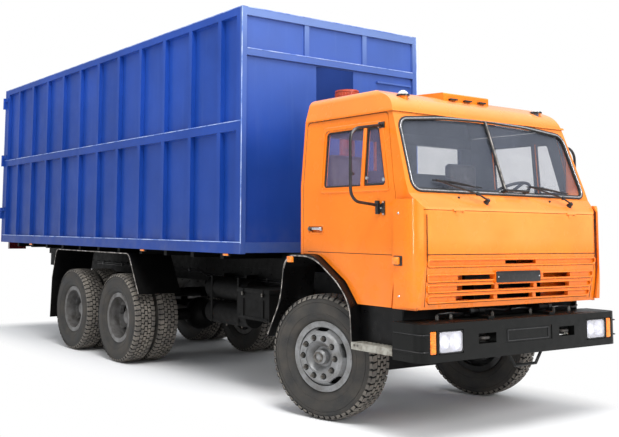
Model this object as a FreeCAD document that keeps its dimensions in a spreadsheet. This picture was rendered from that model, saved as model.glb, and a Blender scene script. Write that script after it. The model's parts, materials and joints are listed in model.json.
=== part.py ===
"""Three-axle cab-over truck with a high ribbed steel load body, in millimetres.

+X points forward, +Y to the vehicle's left and +Z up. The origin lies on the ground
under the middle of the truck's overall box.
"""
import FreeCAD
import Part
import math
import operator
import os
import Sketcher

SIZES = {
    # wheels
    "front_axle_x": 3258.0,
    "wheelbase": 3690.0,
    "bogie_spread": 1320.0,
    "tyre_radius": 533.0,
    "tyre_width": 280.0,
    "bead_radius": 262.0,
    "flange_radius": 300.0,
    "rim_width": 200.0,
    "rim_wall": 12.0,
    "disc_hole_radius": 140.0,
    "disc_face_radius": 190.0,
    "hand_hole_radius": 228.0,
    "hand_hole_width": 24.0,
    "hand_hole_length": 120.0,
    "hand_hole_count": 5.0,
    "front_track_half": 1035.0,
    "rear_track_half": 931.5,
    "twin_spacing": 315.0,
    "fit_gap": 0.3,
    # hubs, knuckles and axles
    "kingpin_half": 870.0,
    "kingpin_radius": 24.0,
    "rest_steer": 14.0,
    "spindle_radius": 45.0,
    "front_cap_radius": 66.0,
    "rear_hub_radius": 128.0,
    "rear_hub_reach": 150.0,
    "drum_radius": 200.0,
    "drum_width": 150.0,
    "eye_height": 110.0,
    "eye_radius": 52.0,
    "lug_height": 34.0,
    "beam_height": 110.0,
    "beam_width": 100.0,
    "beam_drop": 70.0,
    "axle_tube_radius": 75.0,
    "diff_radius": 205.0,
    # chassis
    "rail_half": 432.0,
    "rail_height": 190.0,
    "rail_flange": 80.0,
    "rail_plate": 10.0,
    "rail_top_z": 1195.0,
    "rail_front_reach": 1130.0,
    "rail_rear_inset": 110.0,
    "crossmember_width": 90.0,
    "spring_width": 90.0,
    "leaf": 14.0,
    "front_spring_half": 760.0,
    "front_eye_z": 930.0,
    "rear_spring_y": 505.0,
    "trunnion_z": 760.0,
    # load body
    "body_setback": 1043.0,
    "body_length": 6726.0,
    "body_half": 1232.0,
    "body_bottom_z": 1379.0,
    "body_top_z": 3857.0,
    "skin": 8.0,
    "rib_depth": 52.0,
    "rib_width": 64.0,
    "rib_pitch": 576.0,
    "rib_first": 558.0,
    "rib_count": 11.0,
    "sill_height": 114.0,
    "mid_rail_drop": 1157.0,
    "mid_rail_height": 98.0,
    "top_rail_height": 86.0,
    "corner_post": 95.0,
    "floor_z": 1440.0,
    "floor_depth": 50.0,
    "gate_gap": 6.0,
    "gate_depth": 66.0,
    "hinge_radius": 17.0,
    "hinge_length": 120.0,
    "hinge_reach": 34.0,
    "wall_rail_drop": 422.0,
    "wall_rail_height": 72.0,
    "wall_post_width": 60.0,
    "hatch_left": 280.0,
    "hatch_right": 246.0,
    "hatch_drop": 507.0,
    "hatch_height": 390.0,
    "grip_length": 520.0,
    "grip_drop": 575.0,
    "bearer_depth": 70.0,
    "guard_width": 582.0,
    "tail_lamp_inset": 232.0,
    "tail_lamp_width": 280.0,
    # cab
    "cab_setback": 190.0,
    "cab_half": 1165.0,
    "cab_top_half": 1112.0,
    "cab_wall": 42.0,
    "belt_z": 2010.0,
    "drip_z": 2600.0,
    "roof_z": 2832.0,
    "roof_camber": 4000.0,
    "roof_crest_x": 560.0,
    "brow_x": 880.0,
    "brow_rise": 96.0,
    "gutter": 16.0,
    "corner_radius": 130.0,
    "cab_floor_z": 1405.0,
    "cab_low_z": 1014.0,
    "rear_window_inner": 270.0,
    "rear_window_outer": 920.0,
    "rear_window_low_z": 2190.0,
    "rear_window_top_z": 2470.0,
    "roof_lamp_x": 800.0,
    "roof_lamp_y": 880.0,
    "roof_lamp_radius": 44.0,
    "roof_edge_inset": 60.0,
    "roof_edge_drop": 30.0,
    "screen_top_x": 905.0,
    "screen_top_z": 2601.0,
    "screen_low_x": 1130.0,
    "screen_low_z": 1915.0,
    "screen_foot_half": 1105.0,
    "screen_head_half": 1066.0,
    "screen_sill": 30.0,
    "screen_corner_z": 2520.0,
    "screen_crown": 68.0,
    "nose_x": 1242.0,
    "nose_top_z": 1783.0,
    "nose_crease_z": 1435.0,
    "chin_x": 1176.0,
    "tunnel_half": 480.0,
    "tunnel_top_z": 1480.0,
    "door_gap": 5.0,
    "door_rear_x": -150.0,
    "door_top_z": 2580.0,
    "door_top_x": 858.0,
    "door_belt_x": 985.0,
    "door_low_x": 930.0,
    "arch_front_x": 400.0,
    "arch_shoulder_z": 1190.0,
    "arch_top_x": 60.0,
    "handle_x": 24.0,
    "handle_z": 1625.0,
    "handle_length": 200.0,
    "handle_height": 58.0,
    "door_crease_z": 1430.0,
    "window_low_z": 1985.0,
    "window_top_z": 2470.0,
    "window_rear_x": 118.0,
    "window_front_x": 586.0,
    "quarter_rear_x": 626.0,
    "quarter_top_x": 765.0,
    "quarter_low_x": 880.0,
    "rim_rise": 7.0,
    "glass": 6.0,
    "lid_half": 1120.0,
    "lid_depth": 40.0,
    "groove_depth": 9.0,
    "slot_height": 40.0,
    "panel_standoff": 45.0,
    "panel_plate": 16.0,
    "panel_low_z": 1034.0,
    "panel_high_z": 1868.0,
    "mirror_x": 800.0,
    "mirror_reach": 1468.0,
    "mirror_tube": 13.0,
    "tilt_x": 1150.0,
    "tilt_z": 985.0,
    "tilt_pin_radius": 20.0,
    "tilt_eye_radius": 27.0,
    "wheel_ring_radius": 230.0,
    "wheel_ring_tube": 14.0,
    # front end
    "bumper_x": 1325.0,
    "bumper_half": 1250.0,
    "bumper_low_z": 639.0,
    "bumper_high_z": 926.0,
    "bumper_wrap": 300.0,
    "bumper_plate": 60.0,
    "lamp_width": 270.0,
    "lamp_height": 170.0,
    "lamp_z": 785.0,
    "lamp_depth": 40.0,
    "lamp_gap": 4.0,
    "lamp_y": 928.0,
    "amber_width": 66.0,
    "amber_y": 1120.0,
    "step_z": 715.0,
    "step_rear_x": 537.0,
    "step_front_x": 1010.0,
    "step_inset": 15.0,
    "plate_recess": 5.0,
    "plate_half": 308.0,
    "plate_height": 116.0,
    "tow_y": 510.0,
    "tow_width": 210.0,
    "tow_height": 80.0,
    "foot_tube": 12.0,
}

os.makedirs("parts", exist_ok=True)
doc = FreeCAD.newDocument("Truck")
sheet = doc.addObject("Spreadsheet::Sheet", "Sizes")
for row, (alias, number) in enumerate(SIZES.items(), 1):
    sheet.set("A%d" % row, alias)
    sheet.set("B%d" % row, str(number))
    sheet.setAlias("B%d" % row, alias)
doc.recompute()

NODES = {}
Vector = FreeCAD.Vector


class Length:
    """A number worked out from the sheet, with the formula that the document keeps."""

    def __init__(self, text, value):
        self.text = text
        self.value = value

    def __add__(self, other):
        return joined(self, "+", other, operator.add)

    def __radd__(self, other):
        return joined(other, "+", self, operator.add)

    def __sub__(self, other):
        return joined(self, "-", other, operator.sub)

    def __rsub__(self, other):
        return joined(other, "-", self, operator.sub)

    def __mul__(self, other):
        return joined(self, "*", other, operator.mul)

    def __rmul__(self, other):
        return joined(other, "*", self, operator.mul)

    def __truediv__(self, other):
        return joined(self, "/", other, operator.truediv)

    def __neg__(self):
        return joined(-1, "*", self, operator.mul)


def length(number):
    """A plain number as a Length, and a Length as it is."""
    if isinstance(number, Length):
        return number
    return Length("(%r)" % float(number), float(number))


def joined(left, sign, right, work):
    left, right = length(left), length(right)
    return Length("(%s %s %s)" % (left.text, sign, right.text), work(left.value, right.value))


class SheetSizes:
    """Each size of the sheet by its alias."""

    def __getattr__(self, alias):
        return Length("Sizes." + alias, float(sheet.get(alias)))


s = SheetSizes()
FRONT = s.front_axle_x
HUB_Z = s.tyre_radius
MID = FRONT - s.wheelbase
REAR = MID - s.bogie_spread
SIDES = {"right": -1, "left": 1}


def bind(obj, **formulas):
    for prop, formula in formulas.items():
        obj.setExpression(prop, length(formula).text)


def put(obj, x, y, z, turn=None):
    """Ties an object's place to formulas, with a turn about +Z in degrees."""
    if turn is not None:
        obj.Placement = FreeCAD.Placement(Vector(), FreeCAD.Rotation(Vector(0, 0, 1), 1))
        obj.setExpression("Placement.Rotation.Angle", turn.text + " * 1 deg")
    for axis, formula in zip("xyz", (x, y, z)):
        obj.setExpression("Placement.Base." + axis, length(formula).text)
    return obj


def block(name, x, y, z):
    """A box between two formulas along each axis."""
    box = doc.addObject("Part::Box", name)
    bind(box, Length=x[1] - x[0], Width=y[1] - y[0], Height=z[1] - z[0])
    return put(box, x[0], y[0], z[0])


ALONG = {
    "x": FreeCAD.Rotation(Vector(0, 1, 0), 90),
    "y": FreeCAD.Rotation(Vector(1, 0, 0), -90),
    "z": FreeCAD.Rotation(),
}


def rod(name, along, start, radius, reach):
    """A round bar that starts at a point and runs along an axis."""
    bar = doc.addObject("Part::Cylinder", name)
    bar.Placement = FreeCAD.Placement(Vector(), ALONG[along])
    bind(bar, Radius=radius, Height=reach)
    return put(bar, *start)


def cone(name, along, start, radii, reach):
    """A tapered round bar that starts at a point and runs along an axis."""
    bar = doc.addObject("Part::Cone", name)
    bar.Placement = FreeCAD.Placement(Vector(), ALONG[along])
    bind(bar, Radius1=radii[0], Radius2=radii[1], Height=reach)
    return put(bar, *start)


def ball(name, centre, radius):
    sphere = doc.addObject("Part::Sphere", name)
    bind(sphere, Radius=radius)
    return put(sphere, *centre)


def strut(name, start, end, radius):
    """A round bar between two points."""
    first, last = [Vector(*[length(n).value for n in point]) for point in (start, end)]
    bar = doc.addObject("Part::Cylinder", name)
    bind(bar, Radius=radius)
    bar.Height = (last - first).Length
    bar.Placement = FreeCAD.Placement(first, FreeCAD.Rotation(Vector(0, 0, 1), last - first))
    return bar


def corner_arc(before, corner, after, radius):
    """The tangent arc that rounds a corner, with its ends in the order of the outline."""
    first = (before - corner).normalize()
    second = (after - corner).normalize()
    half = first.getAngle(second) / 2
    start = corner + first * (radius / math.tan(half))
    end = corner + second * (radius / math.tan(half))
    centre = corner + (first + second).normalize() * (radius / math.sin(half))
    low = math.atan2(start.y - centre.y, start.x - centre.x)
    high = math.atan2(end.y - centre.y, end.x - centre.x)
    forward = (high - low) % (2 * math.pi) < math.pi
    if not forward:
        low, high = high, low
    circle = Part.Circle(centre, Vector(0, 0, 1), radius)
    return Part.ArcOfCircle(circle, low, high), start, end, forward


def outline(body, name, plane, points, offset):
    """A closed sketch through corners (u, v) or (u, v, radius), every one tied to the sheet."""
    sketch = body.newObject("Sketcher::SketchObject", name)
    origin = [f for f in body.Origin.OriginFeatures if f.Role == plane + "_Plane"][0]
    sketch.AttachmentSupport = [(origin, "")]
    sketch.MapMode = "FlatFace"
    sketch.setExpression("AttachmentOffset.Base.z", length(offset).text)
    corners = [[length(n) for n in point] for point in points]
    spots = [Vector(c[0].value, c[1].value, 0) for c in corners]
    count = len(corners)
    starts, ends, arcs = list(spots), list(spots), {}
    for i, corner in enumerate(corners):
        if len(corner) == 3:
            arc, ends[i], starts[i], forward = corner_arc(
                spots[i - 1], spots[i], spots[(i + 1) % count], corner[2].value)
            arcs[i] = (arc, forward)
    lines = [sketch.addGeometry(Part.LineSegment(starts[i], ends[(i + 1) % count]), False)
             for i in range(count)]

    def tie(kind, geometry, position, formula):
        index = sketch.addConstraint(
            Sketcher.Constraint(kind, -1, 1, geometry, position, formula.value))
        sketch.setExpression("Constraints[%d]" % index, formula.text)

    for i, corner in enumerate(corners):
        before, after = lines[i - 1], lines[i]
        if i not in arcs:
            sketch.addConstraint(Sketcher.Constraint("Coincident", before, 2, after, 1))
            tie("DistanceX", after, 1, corner[0])
            tie("DistanceY", after, 1, corner[1])
            continue
        arc, forward = arcs[i]
        bend = sketch.addGeometry(arc, False)
        mark = sketch.addGeometry(Part.Point(spots[i]), True)
        tie("DistanceX", mark, 1, corner[0])
        tie("DistanceY", mark, 1, corner[1])
        sketch.addConstraint([
            Sketcher.Constraint("PointOnObject", mark, 1, before),
            Sketcher.Constraint("PointOnObject", mark, 1, after),
            Sketcher.Constraint("Tangent", before, 2, bend, 1 if forward else 2),
            Sketcher.Constraint("Tangent", bend, 2 if forward else 1, after, 1),
        ])
        index = sketch.addConstraint(Sketcher.Constraint("Radius", bend, corner[2].value))
        sketch.setExpression("Constraints[%d]" % index, corner[2].text)
    return sketch


def prism(name, plane, points, low, high):
    """An outline in one origin plane, carried straight from low to high."""
    body = doc.addObject("PartDesign::Body", name)
    sketch = outline(body, name + "_outline", plane, points, -length(high) if plane == "XZ" else low)
    pad = body.newObject("PartDesign::Pad", name + "_pad")
    pad.Profile = sketch
    bind(pad, Length=length(high) - low)
    return body


def lathe(name, points):
    """A section of corners (along, radius) turned once round the body's own Y axis."""
    body = doc.addObject("PartDesign::Body", name)
    sketch = outline(body, name + "_section", "YZ", points, 0)
    turn = body.newObject("PartDesign::Revolution", name + "_turn")
    turn.Profile = sketch
    turn.ReferenceAxis = (sketch, ["H_Axis"])
    turn.Angle = 360.0
    return body


def fuse(name, *shapes):
    whole = doc.addObject("Part::MultiFuse", name)
    whole.Shapes = list(shapes)
    whole.Refine = True
    return whole


def cut(name, base, *tools):
    rest = doc.addObject("Part::Cut", name)
    rest.Base = base
    rest.Tool = tools[0] if len(tools) == 1 else fuse(name + "_tools", *tools)
    rest.Refine = True
    return rest


def shared(name, *shapes):
    """The space that all the shapes hold in common."""
    overlap = doc.addObject("Part::MultiCommon", name)
    overlap.Shapes = list(shapes)
    overlap.Refine = True
    return overlap


def gather(name, *shapes):
    """Like pieces that don't touch, kept as separate solids of one sub-part."""
    group = doc.addObject("Part::Compound", name)
    group.Links = list(shapes)
    return group


def mirrored(name, source):
    """The same piece on the other side of the truck."""
    twin = doc.addObject("Part::Mirroring", name)
    twin.Source = source
    twin.Normal = Vector(0, 1, 0)
    return twin


def keep(name, obj):
    """Names a finished sub-part."""
    obj.Label = name
    NODES[name] = obj
    return obj


# Wheels: sections run outwards along the axle from the middle of the tyre


def tyre(name, side, centre):
    """A tyre whose section is straight from bead to crown."""
    w = s.tyre_width / 2
    seat = s.rim_width / 2 - s.rim_wall - s.fit_gap
    r = s.tyre_radius
    half = [(seat, s.bead_radius + s.fit_gap), (seat, s.flange_radius + 12),
            (w - 7, s.flange_radius + 62), (w, s.flange_radius + 110), (w - 4, r - 72),
            (w - 16, r - 28), (w - 28, r - 7), (w - 60, r)]
    points = [(centre + side * a, *rest) for a, *rest in half]
    points += [(centre - side * a, *rest) for a, *rest in reversed(half)]
    return lathe(name, points)


def rim(name, side, centre, way):
    """A one-piece disc wheel; way is 1 where its disc bulges outboard and -1 inboard."""
    w, t = s.rim_width / 2, s.rim_wall
    bead, face = s.bead_radius, s.twin_spacing / 2
    section = [
        (-w, s.flange_radius), (-w + t, s.flange_radius), (-w + t, bead), (w - t, bead),
        (w - t, s.flange_radius), (w, s.flange_radius), (w, bead - t), (w - 30, bead - t),
        (face - 26, s.disc_face_radius + 32), (face - 4, s.disc_face_radius + 12),
        (face, s.disc_face_radius), (face, s.disc_hole_radius), (face - t, s.disc_hole_radius),
        (face - t, s.disc_face_radius - 5), (face - 34, s.disc_face_radius + 20),
        (w - 46, bead - t - 8), (w - 60, bead - t), (-w, bead - t)]
    dish = lathe(name + "_dish", [(centre + side * way * a, *rest) for a, *rest in section])
    reach = (centre + side * way * (w - 90), centre + side * way * (face + 30))
    reach = reach if side * way > 0 else (reach[1], reach[0])
    r, deep = s.hand_hole_radius, s.hand_hole_width / 2
    holes = []
    for i in range(int(s.hand_hole_count.value)):
        hole = block("%s_hole_%d" % (name, i), (-s.hand_hole_length / 2, s.hand_hole_length / 2),
                     reach, (r - deep, r + deep))
        spot = fuse("%s_turned_%d" % (name, i), hole, block(
            "%s_end_%d" % (name, i), (-s.hand_hole_length / 2 + 10, s.hand_hole_length / 2 - 10),
            reach, (r, r + deep + 6)))
        spot.Placement = FreeCAD.Placement(Vector(), FreeCAD.Rotation(
            Vector(0, 1, 0), 360.0 * i / s.hand_hole_count.value))
        holes.append(spot)
    return cut(name, dish, *holes)


def front_wheel(word, side):
    """Tyre, disc wheel and hub, drawn about the kingpin and turned with it."""
    out = s.front_track_half - s.kingpin_half
    centre = side * out
    face = out + s.twin_spacing / 2 - s.rim_wall
    bore = s.spindle_radius + s.fit_gap
    drum_low = out - s.drum_width / 2
    hub = lathe("hub_front_" + word, [(side * a, *rest) for a, *rest in [
        (drum_low, bore), (drum_low, s.drum_radius), (drum_low + s.drum_width, s.drum_radius),
        (drum_low + s.drum_width, s.disc_hole_radius - 4), (face - 16, s.disc_hole_radius - 4),
        (face - 16, s.disc_face_radius - 12), (face, s.disc_face_radius - 12),
        (face, s.disc_hole_radius - 8), (face - 62, s.front_cap_radius + 20),
        (face - 62, s.front_cap_radius), (face - 4, s.front_cap_radius - 4),
        (face + 12, s.front_cap_radius - 20), (face + 22, 0),
        (out + 20, 0), (out + 20, bore)]])
    pieces = {
        "tyre_front_" + word: tyre("tyre_front_" + word, side, centre),
        "wheel_front_" + word: fuse("wheel_front_" + word,
                                    rim("rim_front_" + word, side, centre, 1), hub),
    }
    for name, piece in pieces.items():
        keep(name, put(piece, FRONT, side * s.kingpin_half, HUB_Z, s.rest_steer))


def knuckle(word, side):
    """Two lugs round the beam's eye, the kingpin, a brake plate, the spindle and an arm."""
    out = s.front_track_half - s.kingpin_half
    eye, lug = s.eye_height / 2 + s.fit_gap, s.lug_height
    plate = out - s.drum_width / 2 - 10
    inner = side * (s.eye_radius + 6)
    low = min(inner.value, side * plate.value)
    post_y = (inner, side * plate) if low == inner.value else (side * plate, inner)
    pieces = [
        rod(word + "_kingpin", "z", (0, 0, -eye - lug), s.kingpin_radius, 2 * (eye + lug)),
        rod(word + "_lug_top", "z", (0, 0, eye), s.eye_radius, lug),
        rod(word + "_lug_low", "z", (0, 0, -eye - lug), s.eye_radius, lug),
        block(word + "_post", (-s.eye_radius, s.eye_radius), post_y, (-eye - lug, eye + lug)),
        block(word + "_web_top", (-s.eye_radius, s.eye_radius),
              (0, inner) if side > 0 else (inner, 0), (eye, eye + lug)),
        block(word + "_web_low", (-s.eye_radius, s.eye_radius),
              (0, inner) if side > 0 else (inner, 0), (-eye - lug, -eye)),
        lathe(word + "_spindle", [(side * a, r) for a, r in [
            (plate - 8, 0), (plate - 8, s.drum_radius - 25), (plate + 8, s.drum_radius - 25),
            (plate + 8, s.spindle_radius), (out + 18, s.spindle_radius), (out + 18, 0)]]),
        block(word + "_arm", (-190, -s.eye_radius + 2), (side * 30 - 22, side * 30 + 22),
              (-eye - lug, -eye - lug + 30)),
    ]
    whole = fuse("knuckle_" + word, *pieces)
    keep("knuckle_" + word, put(whole, FRONT, side * s.kingpin_half, HUB_Z, s.rest_steer))


def rear_wheels(place, x, word, side):
    """A twin pair of tyres on disc wheels bolted back to back, and their hub and drum."""
    half = s.twin_spacing / 2
    name = place + "_" + word
    tyres = gather("tyres_" + name, tyre("tyre_out_" + name, side, side * half),
                   tyre("tyre_in_" + name, side, -side * half))
    t, bore = s.rim_wall, s.spindle_radius + s.fit_gap
    hub = lathe("hub_" + name, [(side * a, *rest) for a, *rest in [
        (-t - s.drum_width - 40, bore), (-t - s.drum_width - 40, s.drum_radius),
        (-t - 40, s.drum_radius), (-t - 40, s.disc_hole_radius - 6),
        (-t - 20, s.disc_hole_radius - 6), (-t - 20, s.disc_face_radius - 12),
        (-t, s.disc_face_radius - 12), (-t, s.rear_hub_radius),
        (s.rear_hub_reach - 44, s.rear_hub_radius - 14), (s.rear_hub_reach - 14, 88),
        (s.rear_hub_reach, 70), (s.rear_hub_reach, 0), (40, 0), (40, bore)]])
    wheels = fuse("wheels_" + name, rim("rim_out_" + name, side, side * half, -1),
                  rim("rim_in_" + name, side, -side * half, 1), hub)
    for label, piece in (("tyres_", tyres), ("wheels_", wheels)):
        keep(label + name, put(piece, x, side * s.rear_track_half, HUB_Z))


# Chassis


def rail(name, y_out, side, x, z):
    """A channel with its web outboard and its flanges inboard."""
    y_in = y_out - side * s.rail_flange
    web = y_out - side * s.rail_plate
    low, high = z
    points = [(y_out, low), (y_out, high), (y_in, high), (y_in, high - s.rail_plate),
              (web, high - s.rail_plate), (web, low + s.rail_plate), (y_in, low + s.rail_plate),
              (y_in, low)]
    return prism(name, "YZ", points, *x)


SPRING_Y = s.rail_half - s.rail_flange / 2


def spring_hangers():
    """Brackets under the rails that hold the ends of the front springs."""
    hangers = []
    for word, side in SIDES.items():
        for end, way in (("fore", 1), ("aft", -1)):
            x = FRONT + way * (s.front_spring_half - 30)
            hangers.append(block(
                "spring_hanger_%s_%s" % (end, word), (x - 45, x + 45),
                (side * SPRING_Y - 38, side * SPRING_Y + 38),
                (s.front_eye_z + s.fit_gap, s.rail_top_z - s.rail_height + 1)))
    return hangers


def tilt_brackets():
    """Brackets under the frame's front ends and the pins that the cab tilts on."""
    brackets = []
    x, z = FRONT + s.tilt_x, s.tilt_z
    inner, outer = s.rail_half - s.rail_flange, s.rail_half - s.rail_plate
    for word, side in SIDES.items():
        y = (side * inner, side * outer) if side > 0 else (side * outer, side * inner)
        pin = (x, side * s.rail_half - (30 if side > 0 else 100), z)
        brackets.append(fuse(
            "tilt_bracket_" + word,
            block("tilt_block_" + word, (FRONT + s.rail_front_reach - 80, x - 35), y,
                  (z - 34, s.rail_top_z - s.rail_height - s.fit_gap)),
            block("tilt_arm_" + word, (x - 40, x), y, (z - s.tilt_eye_radius, z + 15)),
            rod("tilt_boss_" + word, "y", (x, y[0], z), s.tilt_eye_radius, y[1] - y[0]),
            rod("tilt_pin_" + word, "y", pin, s.tilt_pin_radius, 130)))
    keep("tilt_brackets", gather("tilt_brackets", *brackets))


def ladder_frame():
    x = (FRONT - s.body_setback - s.body_length + s.rail_rear_inset, FRONT + s.rail_front_reach)
    z = (s.rail_top_z - s.rail_height, s.rail_top_z)
    pieces = [rail("rail_" + word, side * s.rail_half, side, x, z) for word, side in SIDES.items()]
    inner = s.rail_half - s.rail_plate
    stations = [x[0] + 20, REAR - 420, REAR + s.bogie_spread / 2 - 45, MID + 420, MID + 1400,
                FRONT - 1000, FRONT + 960]
    for i, start in enumerate(stations):
        pieces += [
            block("member_web_%d" % i, (start, start + s.rail_plate), (-inner, inner),
                  (z[0] + s.rail_plate, z[1] - s.rail_plate)),
            block("member_low_%d" % i, (start, start + s.crossmember_width), (-inner, inner),
                  (z[0] + s.rail_plate, z[0] + 2 * s.rail_plate)),
            block("member_high_%d" % i, (start, start + s.crossmember_width), (-inner, inner),
                  (z[1] - 2 * s.rail_plate, z[1] - s.rail_plate)),
        ]
    keep("ladder_frame", fuse("ladder_frame", *pieces, *spring_hangers()))
    tilt_brackets()


def front_axle_beam():
    """A dropped forged beam with an upright eye for each kingpin."""
    eye, bore = s.eye_height / 2, s.kingpin_radius + s.fit_gap
    low, high = HUB_Z - s.beam_drop - s.beam_height, HUB_Z - s.beam_drop
    bend = s.kingpin_half - 150
    half = [(s.rail_half - 110, low, 40), (bend + 30, low + 40, 40),
            (s.kingpin_half - s.eye_radius + 8, HUB_Z - eye + 16),
            (s.kingpin_half - s.eye_radius + 8, HUB_Z + 30), (bend, high + 20, 30),
            (s.rail_half + 60, high, 40)]
    points = half + [(-y, *rest) for y, *rest in reversed(half)]
    beam = prism("beam", "YZ", points, FRONT - s.beam_width / 2, FRONT + s.beam_width / 2)
    eyes = [rod("eye_" + word, "z", (FRONT, side * s.kingpin_half, HUB_Z - eye), s.eye_radius,
                2 * eye) for word, side in SIDES.items()]
    bores = [rod("eye_bore_" + word, "z", (FRONT, side * s.kingpin_half, HUB_Z - eye - 1), bore,
                 2 * eye + 2) for word, side in SIDES.items()]
    keep("front_axle_beam", cut("front_axle_beam", fuse("beam_eyes", beam, *eyes), *bores))


def leaf_spring(name, x, y, ends_z, seat_z, half, leaves):
    """A pack of leaves that sags from its ends to its seat."""
    t = s.leaf
    deep = leaves * t
    points = [(x - half, ends_z), (x - half * 0.4, seat_z + deep + 36, 400),
              (x + half * 0.4, seat_z + deep + 36, 400), (x + half, ends_z),
              (x + half, ends_z - t), (x + half * 0.6, seat_z + deep + 30, 200),
              (x + 70, seat_z), (x - 70, seat_z), (x - half * 0.6, seat_z + deep + 30, 200),
              (x - half, ends_z - t)]
    return prism(name, "XZ", points, y - s.spring_width / 2, y + s.spring_width / 2)


def front_springs():
    seat = HUB_Z - s.beam_drop + s.fit_gap
    packs = [leaf_spring("front_spring_" + word, FRONT, side * SPRING_Y, s.front_eye_z, seat,
                         s.front_spring_half, 8) for word, side in SIDES.items()]
    keep("front_springs", gather("front_springs", *packs))


def rear_leaf_pack(name, x, y, seat_z, half):
    end = HUB_Z + s.axle_tube_radius + 42
    points = [(x - half, end), (x - half, end + 26), (x - 200, seat_z + 130, 300),
              (x + 200, seat_z + 130, 300), (x + half, end + 26), (x + half, end),
              (x + 110, seat_z + s.fit_gap), (x - 110, seat_z + s.fit_gap)]
    return prism(name, "XZ", points, y - s.spring_width / 2, y + s.spring_width / 2)


def rear_suspension():
    """A trunnion under the frame and a rocking leaf pack at each side of it."""
    x = MID - s.bogie_spread / 2
    seat_z = s.trunnion_z + 100
    pieces = [rod("trunnion_tube", "y", (x, -s.rear_spring_y - 60, s.trunnion_z), 62,
                  2 * s.rear_spring_y + 120)]
    for word, side in SIDES.items():
        y = side * s.rear_spring_y
        web = side * (s.rail_half - 20)
        pieces += [
            block("trunnion_saddle_" + word, (x - 95, x + 95), (y - 45, y + 45),
                  (s.trunnion_z, seat_z)),
            block("trunnion_bracket_" + word, (x - 150, x + 150), (web - 16, web + 16),
                  (s.trunnion_z - 60, s.rail_top_z - s.rail_height)),
        ]
    keep("trunnion", fuse("trunnion", *pieces))
    half = s.bogie_spread / 2 + 60
    packs = [rear_leaf_pack("rear_spring_" + word, x, side * s.rear_spring_y, seat_z, half)
             for word, side in SIDES.items()]
    keep("rear_springs", gather("rear_springs", *packs))


def drive_axle(name, x):
    """A tube between the wheels with a round final drive and its nose."""
    end = s.rear_track_half + 34
    shoulder = s.rear_track_half - s.rim_wall - s.drum_width - 42
    pieces = [
        rod(name + "_spindle", "y", (x, -end, HUB_Z), s.spindle_radius, 2 * end),
        rod(name + "_tube", "y", (x, -shoulder, HUB_Z), s.axle_tube_radius, 2 * shoulder),
        ball(name + "_drive", (x, 0, HUB_Z), s.diff_radius),
        cone(name + "_nose", "x", (x, 0, HUB_Z + 30), (120, 70), 330),
    ]
    for word, side in SIDES.items():
        y = side * s.rear_spring_y
        pieces.append(block(name + "_pad_" + word, (x - 80, x + 80), (y - 50, y + 50),
                            (HUB_Z, HUB_Z + s.axle_tube_radius + 42 - s.fit_gap)))
    keep(name, fuse(name, *pieces))


def driveline():
    """The gearbox behind the engine and the shafts to both driven axles."""
    tail_x, tail_z = FRONT - 1050, length(880)
    keep("gearbox", fuse(
        "gearbox", block("gearbox_case", (FRONT - 700, FRONT - 180), (-210, 210), (720, 1120)),
        cone("gearbox_tail", "x", (tail_x, 0, tail_z), (80, 150), 360)))
    nose_x, nose_z = MID + 330 + s.fit_gap, HUB_Z + 30
    inset, flange = 10, 26
    main = strut("shaft_main", (nose_x + inset, 0, nose_z), (tail_x - inset, 0, tail_z), 45)
    flanges = [rod("shaft_flange_aft", "x", (nose_x, 0, nose_z), 70, flange),
               rod("shaft_flange_fore", "x", (tail_x - s.fit_gap - flange, 0, tail_z), 70, flange)]
    between = rod("shaft_between", "x", (REAR + 330 + s.fit_gap, 0, nose_z), 40,
                  s.bogie_spread - 330 - s.diff_radius - 2 * s.fit_gap)
    keep("prop_shafts", gather("prop_shafts", fuse("shaft_main_flanged", main, *flanges), between))


def engine_and_cooling():
    feet = s.rail_half - s.rail_plate - s.fit_gap
    keep("engine_block", fuse(
        "engine_block", block("engine_body", (FRONT - 180 + s.fit_gap, FRONT + 820), (-330, 330),
                              (650, 1390)),
        block("engine_feet", (FRONT + 200, FRONT + 320), (-feet, feet), (1016, 1100))))
    keep("radiator", block("radiator", (FRONT + 900, FRONT + 960 - s.fit_gap), (-340, 340),
                           (700, 1400)))


def tanks():
    keep("fuel_tank", prism("fuel_tank", "XZ", [
        (FRONT - 2150, 560, 70), (FRONT - 1250, 560, 70), (FRONT - 1250, 1100, 70),
        (FRONT - 2150, 1100, 70)], s.rail_half + s.fit_gap, s.rail_half + 650))
    keep("battery_box", block("battery_box", (FRONT - 1409, FRONT - 875),
                              (-s.rail_half - 570, -s.rail_half - s.fit_gap), (725, 1030)))
    y = -s.rail_half - 140
    bottles = [rod("air_tank_%d" % i, "x", (FRONT - 2500, y, z), 125, 800)
               for i, z in enumerate((690, 960))]
    straps = [block("tank_strap_%d" % i, (x, x + 40), (y, -s.rail_half - s.fit_gap), (640, 1120))
              for i, x in enumerate((FRONT - 2340, FRONT - 1900))]
    keep("air_tanks", fuse("air_tanks", *bottles, *straps))


# Load body

BODY_FRONT = FRONT - s.body_setback
BODY_REAR = BODY_FRONT - s.body_length
SKIN_Y = s.body_half - s.rib_depth
MID_RAIL_TOP = s.body_top_z - s.mid_rail_drop


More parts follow.
